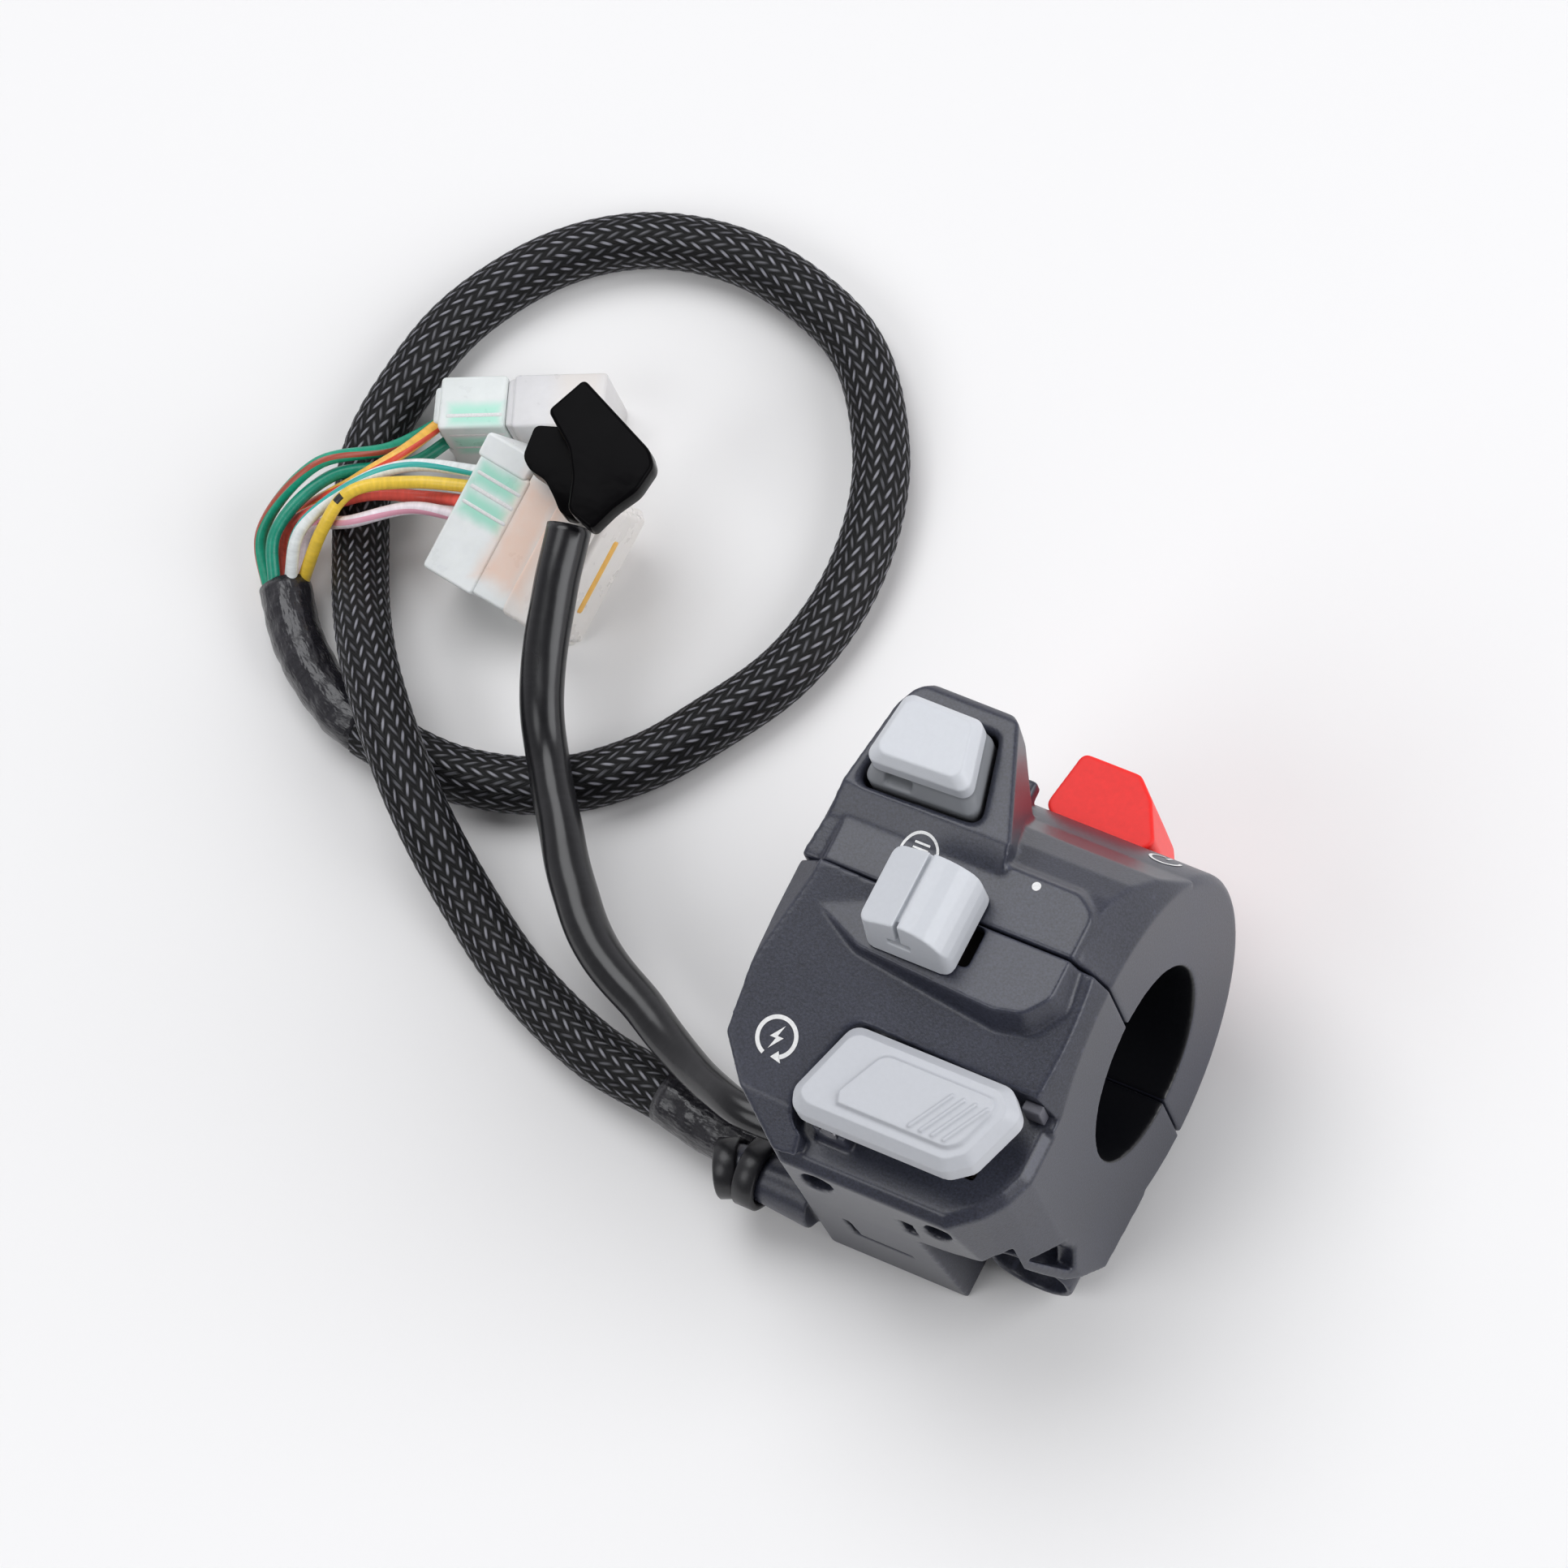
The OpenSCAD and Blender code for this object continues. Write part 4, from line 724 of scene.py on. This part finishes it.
plugs = [
    brick("upper_plug_shell", UPPER, [((0, 0, 0), (up_cut, up_w, PLUG_H)),
                                      ((-0.9, 1.2, 1), (0.4, up_w - 0.8, PLUG_H - 1))], UPPER_MILK,
          ["upper_plug"]),
    # White bars on the upper plug: their white is a painted highlight along the ribs.
    brick("upper_plug_highlight_ribs", UPPER, [((0.9, 1.3, PLUG_H - 0.6), (up_cut - 0.2, 1.9, PLUG_H + 0.08)),
                                     ((0.9, -0.08, 7.8), (up_cut - 0.2, 0.6, 8.4)),
                                     ((0.9, -0.08, 4.6), (up_cut - 0.2, 0.6, 5.2))], PRINT_AND_HIGHLIGHT_WHITE),
    brick("upper_socket_shell", UPPER, [((up_cut, 0.3, 0.4), (up_cut + 1.2, up_w - 0.3, PLUG_H - 0.4)),
                                        ((up_cut + 0.8, 0, 0), (up_l, up_w, PLUG_H))], UPPER_CREAM,
          ["upper_socket"]),
    brick("lower_plug_shell", LOWER, [((0, 0, 0), (low_cut, low_w - 2.6, PLUG_H)),
                                      ((-0.4, low_w - 3, 0.6), (low_cut - 0.6, low_w, PLUG_H + 0.2))],
          LOWER_MILK, ["lower_plug"]),
    # White bars on the lower plug: their white is a painted highlight along the ribs.
    brick("lower_plug_highlight_ribs", LOWER, [((0.6, 10.5, PLUG_H - 0.6), (low_cut - 0.3, 11.1, PLUG_H + 0.08)),
                                     ((0.6, 12.3, PLUG_H - 0.6), (low_cut - 0.3, 12.8, PLUG_H + 0.08)),
                                     ((0.6, 8.6, PLUG_H - 0.6), (low_cut - 0.3, 9.1, PLUG_H + 0.08))], PRINT_AND_HIGHLIGHT_WHITE),
    brick("lower_socket_core", LOWER, [((low_cut - 0.4, 0.3, 0.4),
                                        (low_cut + 4.6, low_w - 0.4, PLUG_H - 0.2))],
          LOWER_MILK),
    brick("lower_socket_shell", LOWER, [((low_cut + 4, 0.1, 0.2), (low_l - 1.6, low_w - 0.2, PLUG_H - 0.1)),
                                        ((low_l - 2.6, -0.3, 0), (low_l - 0.9, low_w, PLUG_H + 0.3)),
                                        ((low_l - 1.6, 0.5, 0.5), (low_l - 0.2, low_w - 0.5, PLUG_H - 0.5))],
          LOWER_CREAM, ["lower_socket"], 0.8, 0.5),
    brick("lower_seal_strip", LOWER, [((low_l - 1.2, 3.8, 4.2), (low_l - 0.12, low_w - 3.8, 5.8))], SEAL,
          ["lower_seal"], 0.5, 0.4),
]


# ---------------------------------------------------------------- finishes of the inner parts

FINISHES = [("screw", STEEL), ("pin", STEEL), ("contact", BRASS), ("terminal", BRASS), ("bridge", BRASS),
            ("base", BOARD), ("carriage", BOARD), ("starter_terminal", DARK)]
for name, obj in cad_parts.items():
    for key, material in FINISHES:  # a later match takes the place of an earlier one
        if key in name:
            obj.data.materials.clear()
            obj.data.materials.append(material)


# ---------------------------------------------------------------- printed marks

PRINT_START, PRINT_REACH, PRINT_LIFT = 0.006, 0.02, 0.00006  # metres along the print's own direction


def stamp(name, outlines, target, material, across, up, origin):
    """Thin printed shapes laid on a surface; outlines are in millimetres from the origin point."""
    tree = BVHTree.FromPolygons([v.co for v in target.data.vertices],
                                [p.vertices for p in target.data.polygons])
    across, up = Vector(across).normalized(), Vector(up).normalized()
    away = across.cross(up).normalized()
    build = bmesh.new()
    for outline in outlines:
        ring = []
        for x, y in outline:
            spot = mm(origin) + (x * across + y * up) * MM
            hit = tree.ray_cast(spot + away * PRINT_START, -away, PRINT_REACH)[0]
            ring.append(build.verts.new((hit if hit else spot) + away * PRINT_LIFT))
        build.faces.new(ring)
    bmesh.ops.triangulate(build, faces=build.faces[:])
    mesh = bpy.data.meshes.new(name)
    build.to_mesh(mesh)
    build.free()
    return piece(name, mesh, material)


def arc_band(radius, width, first, last, steps=40):
    """Short four-sided outlines that together make part of a ring."""
    out = []
    for k in range(steps):
        a, b = (math.radians(first + (last - first) * (k + j) / steps) for j in (0, 1))
        inner, outer = radius - width / 2, radius + width / 2
        out.append([(inner * math.cos(a), inner * math.sin(a)), (outer * math.cos(a), outer * math.sin(a)),
                    (outer * math.cos(b), outer * math.sin(b)), (inner * math.cos(b), inner * math.sin(b))])
    return out


FLAT = ((1, 0, 0), (0, 1, 0))
start_at = (-29.9, -18.8, 23)
stamp("start_ring", arc_band(2.1, 0.46, -60, 249), lower, PRINT_AND_HIGHLIGHT_WHITE, *FLAT, start_at)
stamp("start_arrow", [[(0.15, -2.1), (1.44, -2.35), (0.78, -1.25)]], lower, PRINT_AND_HIGHLIGHT_WHITE, *FLAT, start_at)
stamp("start_bolt", [[(0.45, 1.4), (-0.75, -0.15), (-0.05, -0.12), (0.05, 0.12)],
                     [(-0.05, -0.12), (-0.45, -1.4), (0.75, 0.15), (0.05, 0.12)]],
      lower, PRINT_AND_HIGHLIGHT_WHITE, *FLAT, start_at)
stamp("dot_mark", arc_band(0.25, 0.5, 0, 360, 24), upper, PRINT_AND_HIGHLIGHT_WHITE, *FLAT, (-10.7, 6.0, 26.4))
lamp_at = (-24.1, 4.7, 26.4)
stamp("lamp_ring", arc_band(2.05, 0.3, 0, 360), upper, PRINT_AND_HIGHLIGHT_WHITE, *FLAT, lamp_at)
stamp("lamp_beam", [[(-0.9, 1.1 - 0.6 * k), (0.9, 1.1 - 0.6 * k), (0.9, 0.86 - 0.6 * k),
                     (-0.9, 0.86 - 0.6 * k)] for k in range(4)], upper, PRINT_AND_HIGHLIGHT_WHITE, *FLAT, lamp_at)
ROUND = ((1, 0, 0), (0, 0.43, -0.9))
off_at = (-5, 18.9, 10.2)
stamp("off_ring", arc_band(1.7, 0.36, 110, 380), upper, PRINT_AND_HIGHLIGHT_WHITE, *ROUND, off_at)
stamp("off_bar", [[(-0.18, 0.4), (0.18, 0.4), (0.18, 2.1), (-0.18, 2.1)]], upper, PRINT_AND_HIGHLIGHT_WHITE, *ROUND, off_at)


# ---------------------------------------------------------------- floor and light

FLOOR_HALF = 2.5
FLOOR_TINTS = [(0.3, (0.91, 0.905, 0.895)), (0.7, (0.925, 0.92, 0.91))]
ROOM_TINT = (0.965, 0.955, 1, 1)


def make_floor():
    build = bmesh.new()
    bmesh.ops.create_grid(build, x_segments=4, y_segments=4, size=FLOOR_HALF)
    mesh = bpy.data.meshes.new("floor")
    build.to_mesh(mesh)
    build.free()
    obj = bpy.data.objects.new("floor", mesh)
    scene.collection.objects.link(obj)
    obj.location = (0, 0, FLOOR * MM)
    material, tree, shader = start("pale_floor")
    place = put(tree, "TexCoord").outputs["Object"]
    soft = noise(tree, place, 3, 2)
    tree.links.new(ramp(tree, soft, FLOOR_TINTS), shader.inputs["Base Color"])
    shader.inputs["Roughness"].default_value = 0.9
    shader.inputs["Specular IOR Level"].default_value = 0.1
    mesh.materials.append(material)


LAMP_TINT, LAMP_TARGET = (0.97, 0.98, 1), (-0.06, 0.01, 0)


def make_lamp(name, place, size, power):
    data = bpy.data.lights.new(name, "AREA")
    data.shape = "DISK"
    data.size = size
    data.energy = power
    data.color = LAMP_TINT
    lamp = bpy.data.objects.new(name, data)
    scene.collection.objects.link(lamp)
    lamp.location = place
    lamp.rotation_euler = (Vector(LAMP_TARGET) - Vector(place)).to_track_quat("-Z", "Y").to_euler()


def make_world():
    """A room with pale walls, a dark ceiling and a dimmer side along -Y."""
    world = bpy.data.worlds.new("studio")
    scene.world = world
    world.use_nodes = True
    tree = world.node_tree
    axes = put(tree, "SeparateXYZ", {"Vector": put(tree, "TexCoord").outputs["Generated"]})
    level = put(tree, "MapRange", {"Value": axes.outputs["Z"], "From Min": 0.2, "From Max": 0.95,
                                   "To Min": 0.9, "To Max": 0.16}).outputs["Result"]
    side = put(tree, "MapRange", {"Value": axes.outputs["Y"], "From Min": -0.9, "From Max": 0.1,
                                  "To Min": 0.2, "To Max": 1.0}).outputs["Result"]
    tree.links.new(math_node(tree, "MULTIPLY", level, side), tree.nodes["Background"].inputs["Strength"])
    tree.nodes["Background"].inputs["Color"].default_value = ROOM_TINT


make_floor()
make_world()
make_lamp("key_lamp", (-0.4, 0.33, 1.08), 0.9, 6.3)
make_lamp("front_lamp", (-0.4, -0.7, 0.88), 0.7, 3.2)
make_lamp("side_lamp", (0.85, 0.2, 0.6), 0.9, 6.0)
